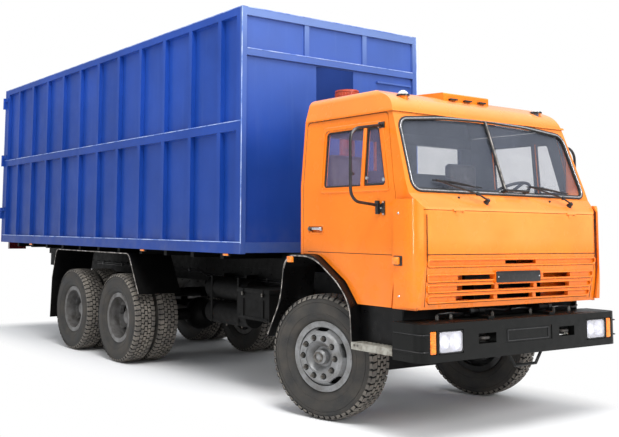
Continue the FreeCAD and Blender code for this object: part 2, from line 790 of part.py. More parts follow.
def side_wall(word, side):
    """A sheet with rails along its sill, middle and top, posts at its ends and upright ribs."""
    def band(name, x, z, deep=0):
        y = (SKIN_Y - s.skin - deep, s.body_half)
        return block("%s_%s" % (name, word), x, y if side > 0 else (-y[1], -y[0]), z)

    whole = (BODY_REAR, BODY_FRONT)
    sheet_y = (SKIN_Y - s.skin, SKIN_Y)
    pieces = [
        block("sheet_" + word, whole, sheet_y if side > 0 else (-sheet_y[1], -sheet_y[0]),
              (s.body_bottom_z, s.body_top_z)),
        band("sill", whole, (s.body_bottom_z, s.body_bottom_z + s.sill_height)),
        band("mid_rail", whole, (MID_RAIL_TOP - s.mid_rail_height, MID_RAIL_TOP)),
        band("top_rail", (BODY_REAR, BODY_FRONT - s.corner_post - s.fit_gap),
             (s.body_top_z - s.top_rail_height, s.body_top_z), 20),
        band("post_front", (BODY_FRONT - s.corner_post, BODY_FRONT),
             (s.body_bottom_z, s.body_top_z)),
        band("post_rear", (BODY_REAR, BODY_REAR + s.corner_post),
             (s.body_bottom_z, s.body_top_z)),
    ]
    for i in range(int(s.rib_count.value)):
        x = BODY_REAR + s.rib_first + i * s.rib_pitch
        pieces.append(band("rib_%d" % i, (x - s.rib_width / 2, x + s.rib_width / 2),
                           (s.body_bottom_z + 20, s.body_top_z - 20)))
    for i, z in enumerate(HINGE_Z):
        low = z + s.hinge_length / 2 + 1
        high = low + GATE_LUG
        bar = (s.body_half + 6, s.body_half + s.hinge_reach - s.hinge_radius)
        for part, x, y in (("pad", (BODY_REAR, BODY_REAR + 60), (s.body_half - 1, bar[1])),
                           ("bar", (GATE_PIN_X, BODY_REAR + 60), bar),
                           ("neck", (GATE_PIN_X, GATE_PIN_X + s.hinge_radius), (bar[0], GATE_PIN_Y))):
            pieces.append(block("hinge_%s_%s_%d" % (part, word, i), x,
                                y if side > 0 else (-y[1], -y[0]), (low, high)))
        axis = (GATE_PIN_X, side * GATE_PIN_Y)
        pieces.append(rod("hinge_eye_%s_%d" % (word, i), "z", (*axis, low), s.hinge_radius, GATE_LUG))
        pieces.append(rod("hinge_pin_%s_%d" % (word, i), "z", (*axis, z - s.hinge_length / 2),
                          s.hinge_radius - 6 - s.fit_gap, s.hinge_length + GATE_LUG))
    keep("side_wall_" + word, fuse("side_wall_" + word, *pieces))


HINGE_Z = (s.body_bottom_z + 434, MID_RAIL_TOP - 34, s.body_top_z - 251)
GATE_LUG = 59
GATE_PIN_X = BODY_REAR - s.gate_gap - s.gate_depth / 2
GATE_PIN_Y = s.body_half + s.hinge_reach


def front_wall():
    """The front sheet with its upper opening, two rails and short posts."""
    inner = SKIN_Y - s.skin - s.fit_gap
    x = (BODY_FRONT - s.corner_post, BODY_FRONT)
    face = BODY_FRONT - 30
    low = s.floor_z - s.floor_depth
    rail_top = s.body_top_z - s.wall_rail_drop
    pieces = [
        block("front_sheet", (face - s.skin, face), (-inner, inner), (low, s.body_top_z)),
        block("front_sill", (x[0], BODY_FRONT - 8), (-inner, inner),
              (low, s.body_bottom_z + s.sill_height)),
        block("front_top_rail", x, (-inner, inner), (s.body_top_z - s.top_rail_height, s.body_top_z)),
        block("front_wall_rail", x, (-inner, inner), (rail_top - s.wall_rail_height, rail_top)),
    ]
    for word, at in (("right", -390), ("left", 430)):
        pieces.append(block("front_post_" + word, (face - 20, BODY_FRONT - 8),
                            (at - s.wall_post_width / 2, at + s.wall_post_width / 2),
                            (rail_top - s.wall_rail_height, s.body_top_z - 10)))
    hatch_top = s.body_top_z - s.hatch_drop
    hole = block("front_opening", (BODY_FRONT - 400, BODY_FRONT + 10),
                 (-s.hatch_right, s.hatch_left), (hatch_top - s.hatch_height, hatch_top))
    end = inner - 32
    z = (s.body_top_z - s.grip_drop - 20, s.body_top_z - s.grip_drop)
    grip = fuse("grip", block("grip_bar", (BODY_FRONT - 12, BODY_FRONT), (end - s.grip_length, end), z),
                block("grip_foot_right", (face - 1, BODY_FRONT), (end - s.grip_length,
                                                                  end - s.grip_length + 20), z),
                block("grip_foot_left", (face - 1, BODY_FRONT), (end - 20, end), z))
    keep("front_wall", fuse("front_wall", cut("front_wall_open", fuse("front_frame", *pieces), hole),
                            grip))


BEARER_LOW = s.floor_z - s.floor_depth - s.fit_gap - s.bearer_depth


def load_floor():
    """The floor plate on cross bearers and two long sills that lie on the frame."""
    inner = SKIN_Y - s.skin - s.fit_gap
    x = (BODY_REAR + 2, BODY_FRONT - s.corner_post - s.fit_gap)
    keep("load_floor", block("load_floor", x, (-inner, inner), (s.floor_z - s.floor_depth, s.floor_z)))
    under = s.floor_z - s.floor_depth - s.fit_gap
    pieces = []
    for word, side in SIDES.items():
        y = (side * s.rail_half - 40 * side, side * s.rail_half)
        y = y if side > 0 else (y[1], y[0])
        pieces.append(block("long_sill_" + word, (BODY_REAR + 40, BODY_FRONT - 10), y,
                            (s.rail_top_z + s.fit_gap, under)))
    for i in range(int(s.rib_count.value)):
        x = BODY_REAR + s.rib_first + i * s.rib_pitch
        pieces.append(block("bearer_%d" % i, (x - 30, x + 30), (-inner, inner),
                            (BEARER_LOW, under)))
    keep("body_subframe", fuse("body_subframe", *pieces))


def gate(word, side):
    """One leaf of the rear gate, ribbed on its outside and hung on three hinges."""
    x_in = BODY_REAR - s.gate_gap
    x_out = x_in - s.gate_depth
    edge = (side * 4, side * s.body_half)
    y = edge if side > 0 else (edge[1], edge[0])
    pieces = [block("gate_sheet_" + word, (x_in - 12, x_in), y, (s.body_bottom_z, s.body_top_z))]
    for i, z in enumerate((s.body_bottom_z, MID_RAIL_TOP - s.mid_rail_height,
                           s.body_top_z - s.mid_rail_height)):
        pieces.append(block("gate_bar_%s_%d" % (word, i), (x_out, x_in), y,
                            (z, z + s.mid_rail_height)))
    for i, at in enumerate((4, s.body_half / 2 - 40, s.body_half - 80)):
        low = (side * at, side * (at + 80))
        pieces.append(block("gate_post_%s_%d" % (word, i), (x_out, x_in),
                            low if side > 0 else (low[1], low[0]), (s.body_bottom_z, s.body_top_z)))
    tools = []
    for i, z in enumerate(HINGE_Z):
        low = (z - s.hinge_length / 2, z + s.hinge_length / 2)
        arm = (side * (s.body_half - 30), side * GATE_PIN_Y)
        pieces.append(block("gate_arm_%s_%d" % (word, i), (GATE_PIN_X - 12, GATE_PIN_X + 12),
                            arm if side > 0 else (arm[1], arm[0]), low))
        pieces.append(rod("gate_eye_%s_%d" % (word, i), "z", (GATE_PIN_X, side * GATE_PIN_Y, low[0]),
                          s.hinge_radius, s.hinge_length))
        tools.append(rod("gate_bore_%s_%d" % (word, i), "z",
                         (GATE_PIN_X, side * GATE_PIN_Y, low[0] - 1), s.hinge_radius - 6,
                         s.hinge_length + 2))
    keep("gate_" + word, cut("gate_" + word, fuse("gate_solid_" + word, *pieces), *tools))


# Cab

CAB_REAR = FRONT - s.cab_setback
NOSE = FRONT + s.nose_x
SCREEN_LOW = FRONT + s.screen_low_x
SCREEN_TOP = FRONT + s.screen_top_x
SPAN = (-s.cab_half - 235, s.cab_half + 235)
RISE = (s.cab_low_z - 114, s.roof_z + 168)
RUN = (CAB_REAR - 410, NOSE + 258)


def cab_half_outline(deep, top):
    """Half of the cab seen from the front, from its foot up to the given height."""
    return [(s.cab_half - deep, RISE[0]), (s.cab_half - deep, s.belt_z, 500),
            (s.cab_top_half - deep, s.drip_z, 60), top]


def whole_outline(half):
    """Corners up one side and down the other, with a last corner on the middle kept once."""
    return half + [(-y, *rest) for y, *rest in reversed(half)]


def cab_solid(name, deep, nose_deep, corner=s.corner_radius):
    """The cab's form, its skin moved inwards: side, front and plan outlines held in common."""
    roof = s.roof_z - deep
    low = s.cab_low_z + deep
    nose = NOSE - nose_deep
    side = prism(name + "_side", "XZ", [
        (CAB_REAR + deep, s.cab_floor_z + deep), (CAB_REAR + deep, roof - 4, 60),
        (FRONT + s.roof_crest_x, roof + 6, 900),
        (FRONT + s.brow_x - deep, s.drip_z + s.brow_rise - deep, 200 - 2.6 * deep),
        (SCREEN_TOP - deep, s.screen_top_z), (SCREEN_LOW - deep, s.screen_low_z),
        (nose, s.nose_top_z, 40), (nose, s.nose_crease_z),
        (FRONT + s.chin_x - nose_deep, low), (FRONT + s.step_rear_x + deep, low),
        (FRONT + s.arch_front_x + deep, s.arch_shoulder_z + deep, 200),
        (FRONT + s.arch_top_x, s.cab_floor_z + deep, 200)], *SPAN)
    half = cab_half_outline(deep, (s.cab_top_half - s.roof_edge_inset - deep, roof - s.roof_edge_drop, 90))
    crown = half + [(0, roof + 14, s.roof_camber)] + [(-y, *rest) for y, *rest in reversed(half)]
    front = prism(name + "_front", "YZ", crown, *RUN)
    wide = s.cab_half - deep
    plan = prism(name + "_plan", "XY", [
        (CAB_REAR + deep, -wide), (nose, -wide, corner), (nose, wide, corner),
        (CAB_REAR + deep, wide)], *RISE)
    return shared(name, side, front, plan)


def engine_tunnel(name, grow):
    return block(name, (CAB_REAR - 10, FRONT + 1090 + grow),
                 (-s.tunnel_half - grow, s.tunnel_half + grow), (RISE[0], s.tunnel_top_z + grow))


def roof_trim():
    """The rain gutter round the roof, the hatch and the bodies of the two marker lamps."""
    form = cab_solid("gutter_form", -s.gutter, -s.gutter)
    zone = block("gutter_zone", (CAB_REAR + 40, RUN[1]), SPAN,
                 (s.door_top_z + s.door_gap + 3, s.drip_z + 6))
    ring = cut("gutter_ring", shared("gutter_slab", form, zone), block(
        "gutter_inside", (RUN[0], FRONT + s.brow_x - 40), (60 - s.cab_top_half, s.cab_top_half - 60),
        RISE))
    hatch = prism("hatch", "XZ", [
        (FRONT + 140, s.roof_z - 40), (FRONT + 140, s.roof_z + 32, 14), (FRONT + 720, s.roof_z + 8, 14),
        (FRONT + 720, s.roof_z - 75)], -300, 300)
    lamps = [rod("roof_lamp_" + word, "z", (FRONT + s.roof_lamp_x, side * s.roof_lamp_y, s.roof_z - 150),
                 s.roof_lamp_radius, 62) for word, side in SIDES.items()]
    return [ring, hatch, *lamps]


def corner_panels(form):
    """Curved plates that stand off the cab's front corners on two brackets each."""
    out, plate = s.panel_standoff, s.panel_plate
    blade = cut("panel_blade", cab_solid("panel_out", -out, -out / 2, s.corner_radius + 20),
                cab_solid("panel_in", plate - out, plate - out / 2, s.corner_radius + 4))
    z = (s.panel_low_z, s.panel_high_z)
    panels = []
    for word, side in SIDES.items():
        y = (s.lid_half + 8, SPAN[1]) if side > 0 else (SPAN[0], -s.lid_half - 8)
        zone = block("panel_zone_" + word, (FRONT + s.door_belt_x + 17, RUN[1]), y, z)
        panels.append(shared("corner_panel_" + word, blade, zone))
        for i, at in enumerate((z[0] + 83, z[1] - 111)):
            reach = (s.cab_half - 45, s.cab_half + out - plate / 2)
            panels.append(block("panel_bracket_%s_%d" % (word, i), (FRONT + 1060, FRONT + 1100),
                                reach if side > 0 else (-reach[1], -reach[0]), (at - 14, at + 14)))
    return panels


def door_outline(grow, foot):
    """The door's edge seen from the side; grow moves its sides and foot lowers its bottom."""
    arch = s.door_gap - foot
    low = s.cab_low_z + arch
    return [
        (FRONT + s.door_rear_x - grow, s.cab_floor_z + arch),
        (FRONT + s.door_rear_x - grow, s.door_top_z + grow, 40),
        (FRONT + s.door_top_x + grow, s.door_top_z + grow, 40),
        (FRONT + s.door_belt_x + grow, s.screen_low_z, 60),
        (FRONT + s.door_belt_x + grow, s.nose_crease_z, 200),
        (FRONT + s.door_low_x + grow, low),
        (FRONT + s.step_rear_x + 8 - foot / 2, low),
        (FRONT + s.arch_front_x + 5 - foot / 2, s.arch_shoulder_z + arch, 190),
        (FRONT + s.arch_top_x + 3, s.cab_floor_z + arch, 190)]


def window_outline(grow):
    return [
        (FRONT + s.window_rear_x - grow, s.window_low_z - grow, 30),
        (FRONT + s.window_rear_x - grow, s.window_top_z + grow, 50),
        (FRONT + s.quarter_top_x + grow, s.window_top_z + grow, 40),
        (FRONT + s.quarter_low_x + grow, s.window_low_z - grow, 30)]


def inside_of_doors(name, deep):
    """Everything between the doors' inner faces, or those faces moved inwards."""
    half = cab_half_outline(deep, (s.cab_top_half - deep, RISE[1]))
    return prism(name, "YZ", whole_outline(half), *RUN)


def screen_outline(grow):
    """The windscreen's opening seen from the front, with its bowed top edge."""
    low, high = s.screen_low_z + s.screen_sill, s.screen_corner_z
    foot, head = s.screen_foot_half + grow, s.screen_head_half + grow
    return [(-foot, low - grow, 90), (foot, low - grow, 90), (head, high + grow, 90),
            (0, high + s.screen_crown + grow, 12000), (-head, high + grow, 90)]


def rear_openings(name, x, inset):
    """The two windows of the cab's back wall, or the panes that fill them."""
    low, high = s.rear_window_inner + inset, s.rear_window_outer - inset
    z = (s.rear_window_low_z + inset, s.rear_window_top_z - inset)
    return [block(name + word, x, (low, high) if side > 0 else (-high, -low), z)
            for word, side in SIDES.items()]


def door_skin_work(word, side, near):
    """What stands on a door's skin and what is pressed into it: window rim, handle pocket, crease."""
    band = cut("rim_band_" + word, inside_of_doors("rim_out_" + word, -s.rim_rise),
               inside_of_doors("rim_in_" + word, 10))
    ring = cut("rim_ring_" + word, prism("rim_edge_" + word, "XZ", window_outline(length(42)), *SPAN),
               prism("rim_hole_" + word, "XZ", window_outline(length(16)), *SPAN))
    rim_shape = shared("window_rim_" + word, band, ring, near)
    skin = (s.cab_half - 24, s.cab_half + 20)
    pocket = block("handle_pocket_" + word,
                   (FRONT + s.handle_x - s.handle_length / 2, FRONT + s.handle_x + s.handle_length / 2),
                   skin if side > 0 else (-skin[1], -skin[0]),
                   (s.handle_z - s.handle_height / 2, s.handle_z + s.handle_height / 2))
    line = (s.cab_half - 4, s.cab_half + 20)
    crease = block("door_crease_" + word, (FRONT + s.door_rear_x - 10, FRONT + s.door_belt_x + 10),
                   line if side > 0 else (-line[1], -line[0]), (s.door_crease_z - 3, s.door_crease_z + 3))
    return rim_shape, [pocket, crease]


def mirror_arm(word, side):
    """A tube bracket that stands off the door on two feet."""
    x, r = FRONT + s.mirror_x, s.mirror_tube
    top = (x, side * s.mirror_reach, 2425)
    bottom = (x, side * s.mirror_reach, 1852)
    feet = [(x, side * (s.cab_half - 50), 2479), (x, side * s.cab_half, 1824)]
    pieces = [strut("mirror_top_" + word, feet[0], top, r), strut("mirror_post_" + word, bottom, top, r),
              strut("mirror_low_" + word, feet[1], bottom, r), ball("mirror_bend_" + word, top, r),
              ball("mirror_elbow_" + word, bottom, r)]
    for i, (foot, tall) in enumerate(zip(feet, (30, 42))):
        y = (foot[1], foot[1] + side * 16)
        pieces.append(block("mirror_foot_%s_%d" % (word, i), (x - 34, x + 34),
                            y if side > 0 else (y[1], y[0]), (foot[2] - tall, foot[2] + tall)))
    rim_seat = shared("mirror_rim_seat_" + word,
                      inside_of_doors("mirror_rim_" + word, -s.rim_rise - s.fit_gap),
                      block("mirror_high_" + word, RUN, SPAN, (s.window_low_z, RISE[1])))
    keep("mirror_arm_" + word, cut("mirror_arm_" + word, fuse("mirror_tube_" + word, *pieces),
                                   inside_of_doors("mirror_seat_" + word, -s.fit_gap), rim_seat))


def lid_work():
    """The bands pressed into the lid's lower half, the slots cut through them and the badge plate."""
    reach = (NOSE - 200, NOSE + 50)
    bands, slots = [], []
    rows = ((1375, 1078), (1258, 1066), (1176, 1052), (1094, 1040))
    for i, (z, half) in enumerate(rows):
        slope = (s.nose_x - s.chin_x) / (s.nose_crease_z - s.cab_low_z)
        face = NOSE - (s.nose_crease_z - z) * slope
        tall = s.slot_height / 2 + 6
        bands.append(block("band_%d" % i, (face - s.groove_depth, NOSE + 50), (-half, half),
                           (z - tall, z + tall)))
    slots.append(block("slot_top", reach, (-150, 250), (1360, 1390)))
    spans = {1: ((-705, -250), (372, 750)), 2: ((-705, -250), (-205, 255), (298, 750)),
             3: ((-705, -250), (-205, 255), (298, 750))}
    for i, places in spans.items():
        for j, y in enumerate(places):
            z = rows[i][0]
            slots.append(block("slot_%d_%d" % (i, j), reach, y,
                               (z - s.slot_height / 2, z + s.slot_height / 2)))
    plate = block("badge_plate", (NOSE - 70, NOSE - 6), (-285, 290), (1208, 1304))
    return plate, bands + slots


def cab():
    """The cab as panels cut from one thick-walled form."""
    w = s.cab_wall
    outer_form = cab_solid("cab_outer_form", length(0), length(0))
    outer = cut("cab_outer", outer_form, engine_tunnel("tunnel", 0))
    inner = cut("cab_inner", cab_solid("cab_inner_form", w, length(240)),
                engine_tunnel("tunnel_cover", w))
    shell = cut("cab_shell", outer, inner)
    door_tool = cut("door_tool", prism("door_space", "XZ", door_outline(s.door_gap, s.door_gap + 70),
                                       *SPAN), inside_of_doors("door_inside", w + s.door_gap))
    lid_space = block("lid_space", (NOSE - 190, NOSE + 30), (-s.lid_half - 5, s.lid_half + 5),
                      (s.cab_low_z - 60, s.nose_top_z + 5))
    screen_hole = prism("screen_hole", "YZ", screen_outline(length(0)), FRONT + 600, NOSE + 60)
    frame = cut("cab_frame", shell, door_tool, lid_space, screen_hole,
                *rear_openings("rear_hole_", (CAB_REAR - 10, CAB_REAR + w + 10), 0))
    big, wide = RUN, SPAN
    drip = s.door_top_z + s.door_gap
    pillar = SCREEN_TOP - 75
    top = shared("roof_shell", frame, block("roof_zone", big, wide, (drip, RISE[1])))
    room = prism("roof_inside", "XY", [
        (CAB_REAR + w, w - s.cab_top_half), (pillar - 60, w - s.cab_top_half),
        (pillar - 60, s.cab_top_half - w), (CAB_REAR + w, s.cab_top_half - w)],
        RISE[0], s.roof_z - 90)
    keep("cab_roof", fuse("cab_roof", top, cut("roof_trim", fuse("roof_pieces", *roof_trim()), room)))
    keep("cab_back_wall", shared("cab_back_wall", frame, block(
        "back_zone", (CAB_REAR - 10, CAB_REAR + w), wide, (RISE[0], drip))))
    keep("cab_floor", shared("cab_floor", frame, block(
        "floor_zone", (CAB_REAR + w, pillar), wide, (RISE[0], drip))))
    face = shared("cab_face", frame, block("front_zone", (pillar, RUN[1]), wide, (RISE[0], drip)))
    lugs, eyes = [], []
    x, z = FRONT + s.tilt_x, s.tilt_z
    for word, side in SIDES.items():
        y = (s.rail_half + 52, s.rail_half + 92)
        y = y if side > 0 else (-y[1], -y[0])
        lugs += [
            block("tilt_lug_" + word, (NOSE - 240, x - 35), y, (z - 34, s.cab_low_z + 60)),
            block("tilt_lug_arm_" + word, (x - 40, x), y, (z - s.tilt_eye_radius, z + 25)),
            rod("tilt_lug_boss_" + word, "y", (x, y[0], z), s.tilt_eye_radius, y[1] - y[0]),
        ]
        eyes.append(rod("tilt_eye_" + word, "y", (x, y[0] - 1, z), s.tilt_pin_radius + s.fit_gap, 42))
    pins, rooms = hinge_parts()
    keep("cab_front", fuse("cab_front", cut("cab_front_eyes", fuse("cab_front_lugs", face, *lugs),
                                            *eyes, *rooms), *pins, *corner_panels(outer_form)))
    for word, side in SIDES.items():
        y = (s.cab_half - 400, SPAN[1]) if side > 0 else (SPAN[0], 400 - s.cab_half)
        near = block("door_side_" + word, big, y, RISE)
        form = prism("door_form_" + word, "XZ", door_outline(length(0), length(0)), *SPAN)
        shut = cut("door_shut_" + word, shared("door_solid_" + word, outer_form, form, near),
                   inside_of_doors("door_inner_" + word, w))
        hole = prism("window_hole_" + word, "XZ", window_outline(length(0)), *SPAN)
        post = block("window_post_" + word, (FRONT + s.window_front_x, FRONT + s.quarter_rear_x),
                     wide, (s.window_low_z - 100, RISE[1]))
        raised, pressed = door_skin_work(word, side, near)
        panel = cut("door_panel_" + word, fuse("door_rimmed_" + word, shut, raised),
                    cut("window_tool_" + word, hole, post), *pressed)
        keep("door_" + word, with_eyes("door_" + word, panel, "door_hinge_" + word))
        mirror_arm(word, side)
        edge = length(-s.fit_gap)
        pane = shared("pane_" + word, cut("pane_skin_" + word,
                                          inside_of_doors("pane_out_" + word, w / 2 - s.glass / 2),
                                          inside_of_doors("pane_in_" + word, w / 2 + s.glass / 2)),
                      prism("pane_hole_" + word, "XZ", window_outline(edge), *SPAN),
                      block("pane_side_" + word, big, y, RISE))
        slot = block("pane_post_" + word, (FRONT + s.window_front_x - s.fit_gap,
                                           FRONT + s.quarter_rear_x + s.fit_gap), wide, RISE)
        keep("door_glass_" + word, cut("door_glass_" + word, pane, slot))
    lid = prism("lid_form", "YZ", [
        (-s.lid_half, s.cab_low_z + 4), (s.lid_half, s.cab_low_z + 4),
        (s.lid_half, s.nose_top_z), (-s.lid_half, s.nose_top_z)], NOSE - 170, NOSE + 30)
    foot = block("lid_foot_room", (NOSE - 200, FRONT + s.chin_x - s.lid_depth), wide,
                 (RISE[0], s.cab_low_z + s.lid_depth + 4))
    skin = cut("lid_skin", cab_solid("lid_outer", length(0), length(0)),
               cab_solid("lid_inner", s.lid_depth, s.lid_depth), foot)
    plate, hollows = lid_work()
    grille = fuse("lid_plated", cut("front_lid_open", shared("lid_plate", skin, lid), *hollows), plate)
    keep("front_lid", with_eyes("front_lid", grille, "lid_hinge"))
    deep = w / 2
    screen = shared("screen_glass", cut(
        "screen_skin", cab_solid("screen_out", deep - s.glass / 2, deep),
        cab_solid("screen_in", deep + s.glass / 2, deep)),
        prism("screen_edge", "YZ", screen_outline(-s.fit_gap), SCREEN_TOP - 75, NOSE + 60))
    rear_panes = rear_openings("rear_pane_", (CAB_REAR + deep - s.glass / 2,
                                              CAB_REAR + deep + s.glass / 2), s.fit_gap)
    keep("cab_glass", gather("cab_glass", screen, *rear_panes))


# Hinges: each is a barrel of three parts round one pin

HINGES = {
    "door_hinge_right": ("z", FRONT + s.door_belt_x + 2.5, -s.cab_half - 3, (1400, 1740)),
    "door_hinge_left": ("z", FRONT + s.door_belt_x + 2.5, s.cab_half + 3, (1400, 1740)),
    "lid_hinge": ("y", NOSE + 3, s.nose_top_z + 2.5, (-760, 700)),
}
BARREL = 9
BARREL_BORE = 5


def hinge_places(name):
    """The axis, the foot of the middle barrel and the way along it, for each hinge of a panel."""
    along, a, b, places = HINGES[name]
    way = (0, 0, 1) if along == "z" else (0, 1, 0)
    for at in places:
        yield along, ((a, b, at) if along == "z" else (a, at, b)), way


def hinge_parts():
    """Pins with an outer barrel at each end, and the room that each middle barrel needs."""
    pieces, rooms = [], []
    for hinge in HINGES:
        for i, (along, spot, way) in enumerate(hinge_places(hinge)):
            name = "%s_part_%d" % (hinge, i)
            for k, (low, reach, radius) in enumerate(((-31, 122, BARREL_BORE - s.fit_gap),
                                                      (-31, 30, BARREL), (61, 30, BARREL))):
                start = [c + low * w for c, w in zip(spot, way)]
                pieces.append(rod("%s_%d" % (name, k), along, start, radius, reach))
            x, y, z = spot
            for k, low in enumerate((-31, 61)):
                if along == "y":
                    leaf = block("%s_leaf_%d" % (name, k), (x - 30, x), (y + low, y + low + 30),
                                 (z + 2.5, z + 8.5))
                else:
                    inward = (y, y + 9) if "right" in hinge else (y - 9, y)
                    leaf = block("%s_leaf_%d" % (name, k), (x + 2.5, x + 30), inward,
                                 (z + low, z + low + 30))
                pieces.append(leaf)
            rooms.append(rod(name + "_room", along, [c - w for c, w in zip(spot, way)],
                             BARREL + 5, 62))
    return pieces, rooms


def with_eyes(name, panel, hinge):
    """A panel with the middle barrels of its hinge and room for the pins and outer barrels."""
    eyes, bores, rooms = [], [], []
    for i, (along, spot, way) in enumerate(hinge_places(hinge)):
        rooms.append(rod("%s_room_%d" % (hinge, i), along,
                         [c - 32 * w for c, w in zip(spot, way)], BARREL + 5, 124))
        eyes.append(rod("%s_eye_%d" % (hinge, i), along, spot, BARREL, 60))
        eyes.append(eye_leaf("%s_leaf_%d" % (hinge, i), hinge, spot))
        bores.append(rod("%s_bore_%d" % (hinge, i), along,
                         [c - 1 * w for c, w in zip(spot, way)], BARREL_BORE, 62))
    return cut(name, fuse(name + "_eyed", cut(name + "_roomed", panel, *rooms), *eyes), *bores)


def eye_leaf(name, hinge, spot):
    """The short leaf that ties a middle barrel to its panel."""
    x, y, z = spot
    if hinge == "lid_hinge":
        return block(name, (x - 30, x), (y, y + 60), (z - 40, z - 6))
    inward = (y, y + 26) if "right" in hinge else (y - 26, y)
    return block(name, (x - 40, x - 6), inward, (z, z + 60))


def cab_inside():
    floor = s.cab_floor_z + s.cab_wall
    keep("seats", gather("seats", *[
        fuse("seat_" + word,
             block("seat_cushion_" + word, (FRONT + 20, FRONT + 520),
                   (side * 780 - 240, side * 780 + 240), (floor + s.fit_gap, 1830)),
             block("seat_back_" + word, (FRONT - 100, FRONT + 30),
                   (side * 780 - 230, side * 780 + 230), (1700, 2330)))
        for word, side in SIDES.items()]))
    wall = NOSE - 240 - s.fit_gap
    desk_half = s.cab_half - s.cab_wall - 60
    desk = shared("dashboard_form", prism("dashboard_side", "XZ", [
        (FRONT + 740, 1660), (FRONT + 740, 1850, 40), (wall, 1870), (wall, 1600)],
        -desk_half, desk_half), prism("dashboard_plan", "XY", [
            (FRONT + 740, -desk_half), (wall, -desk_half, 75), (wall, desk_half, 75),
            (FRONT + 740, desk_half)], 1500, 2000))
    lean = FreeCAD.Placement(Vector(FRONT.value + 620, 650, 1960),
                             FreeCAD.Rotation(Vector(0, 1, 0), -30))
    column_hole = fuse("column_hole", rod("column_room", "z", (0, 0, -330), 30 + s.fit_gap, 300),
                       rod("column_end", "z", (0, 0, -331), 30, 10))
    column_hole.Placement = lean
    keep("dashboard", cut("dashboard", desk, column_hole))
    ring = doc.addObject("Part::Torus", "steering_ring")
    bind(ring, Radius1=s.wheel_ring_radius, Radius2=s.wheel_ring_tube)
    reach = s.wheel_ring_radius - 5
    wheel = fuse("steering_wheel", ring, block("spoke_along", (-reach, reach), (-16, 16), (-8, 8)),
                 block("spoke_across", (-16, 16), (-reach, reach), (-8, 8)),
                 rod("steering_column", "z", (0, 0, -325), 30, 335))
    wheel.Placement = lean
    keep("steering_wheel", wheel)


def bumper():
    """A pressed beam that wraps back round both ends."""
    x, half = FRONT + s.bumper_x, s.bumper_half
    t = s.bumper_plate
    back = x - s.bumper_wrap
    points = [(back, -half), (x, -half, 90), (x, half, 90), (back, half), (back, half - t),
              (x - t, half - t, 40), (x - t, t - half, 40), (back, t - half)]
    beam = prism("bumper_beam", "XY", points, s.bumper_low_z, s.bumper_high_z)
    holes = []
    lamp_z = (s.lamp_z - s.lamp_height / 2 - s.lamp_gap, s.lamp_z + s.lamp_height / 2 + s.lamp_gap)
    for word, side in SIDES.items():
        for kind, y, width in (("lamp_hole_", s.lamp_y, s.lamp_width),
                               ("amber_hole_", s.amber_y, s.amber_width)):
            reach = width / 2 + s.lamp_gap
            holes.append(block(kind + word, (x - s.lamp_depth, x + 20),
                               (side * y - reach, side * y + reach), lamp_z))
        holes.append(block("tow_hole_" + word, (x - 100, x + 20),
                           (side * s.tow_y - s.tow_width / 2, side * s.tow_y + s.tow_width / 2),
                           (s.lamp_z - s.tow_height / 2 + 5, s.lamp_z + s.tow_height / 2 + 5)))
        end = (half - 3, half + 20) if side > 0 else (-half - 20, 3 - half)
        for i, z in enumerate((s.bumper_low_z + 62, s.bumper_high_z - 82)):
            holes.append(block("end_groove_%s_%d" % (word, i), (back - 5, x - 92), end, (z - 5, z + 5)))
    holes.append(block("plate_recess", (x - s.plate_recess, x + 20), (-s.plate_half, s.plate_half),
                       (s.lamp_z - s.plate_height / 2 + 10, s.lamp_z + s.plate_height / 2 + 10)))
    stays = [block("bumper_stay_" + word, (FRONT + s.tilt_x - 65, x - t + 5),
                   (side * (s.rail_half - 40) - 35, side * (s.rail_half - 40) + 35),
                   (720, s.tilt_z - 34 - s.fit_gap))
             for word, side in SIDES.items()]
    keep("bumper", fuse("bumper", cut("bumper_open", fuse("bumper_stayed", beam, *stays), *holes),
                        *foot_loop(x - 30)))
    units = []
    for word, side in SIDES.items():
        for kind, y, width in (("headlamp", s.lamp_y, s.lamp_width),
                               ("indicator", s.amber_y, s.amber_width)):
            units.append(block("%s_%s" % (kind, word), (x - s.lamp_depth + s.fit_gap, x - 2),
                               (side * y - width / 2, side * y + width / 2),
                               (s.lamp_z - s.lamp_height / 2, s.lamp_z + s.lamp_height / 2)))
    keep("front_lamps", gather("front_lamps", *units))


def foot_loop(x):
    """The tube bent down under the bumper as a foothold."""
    r = s.foot_tube
    top = s.bumper_low_z + 2
    points = [(x, -222, top), (x, -150, 548), (x, 120, 548), (x, 192, top)]
    bars = [strut("foothold_%d" % i, points[i], points[i + 1], r) for i in range(3)]
    return bars + [ball("foothold_bend_%d" % i, points[i], r) for i in (1, 2)]


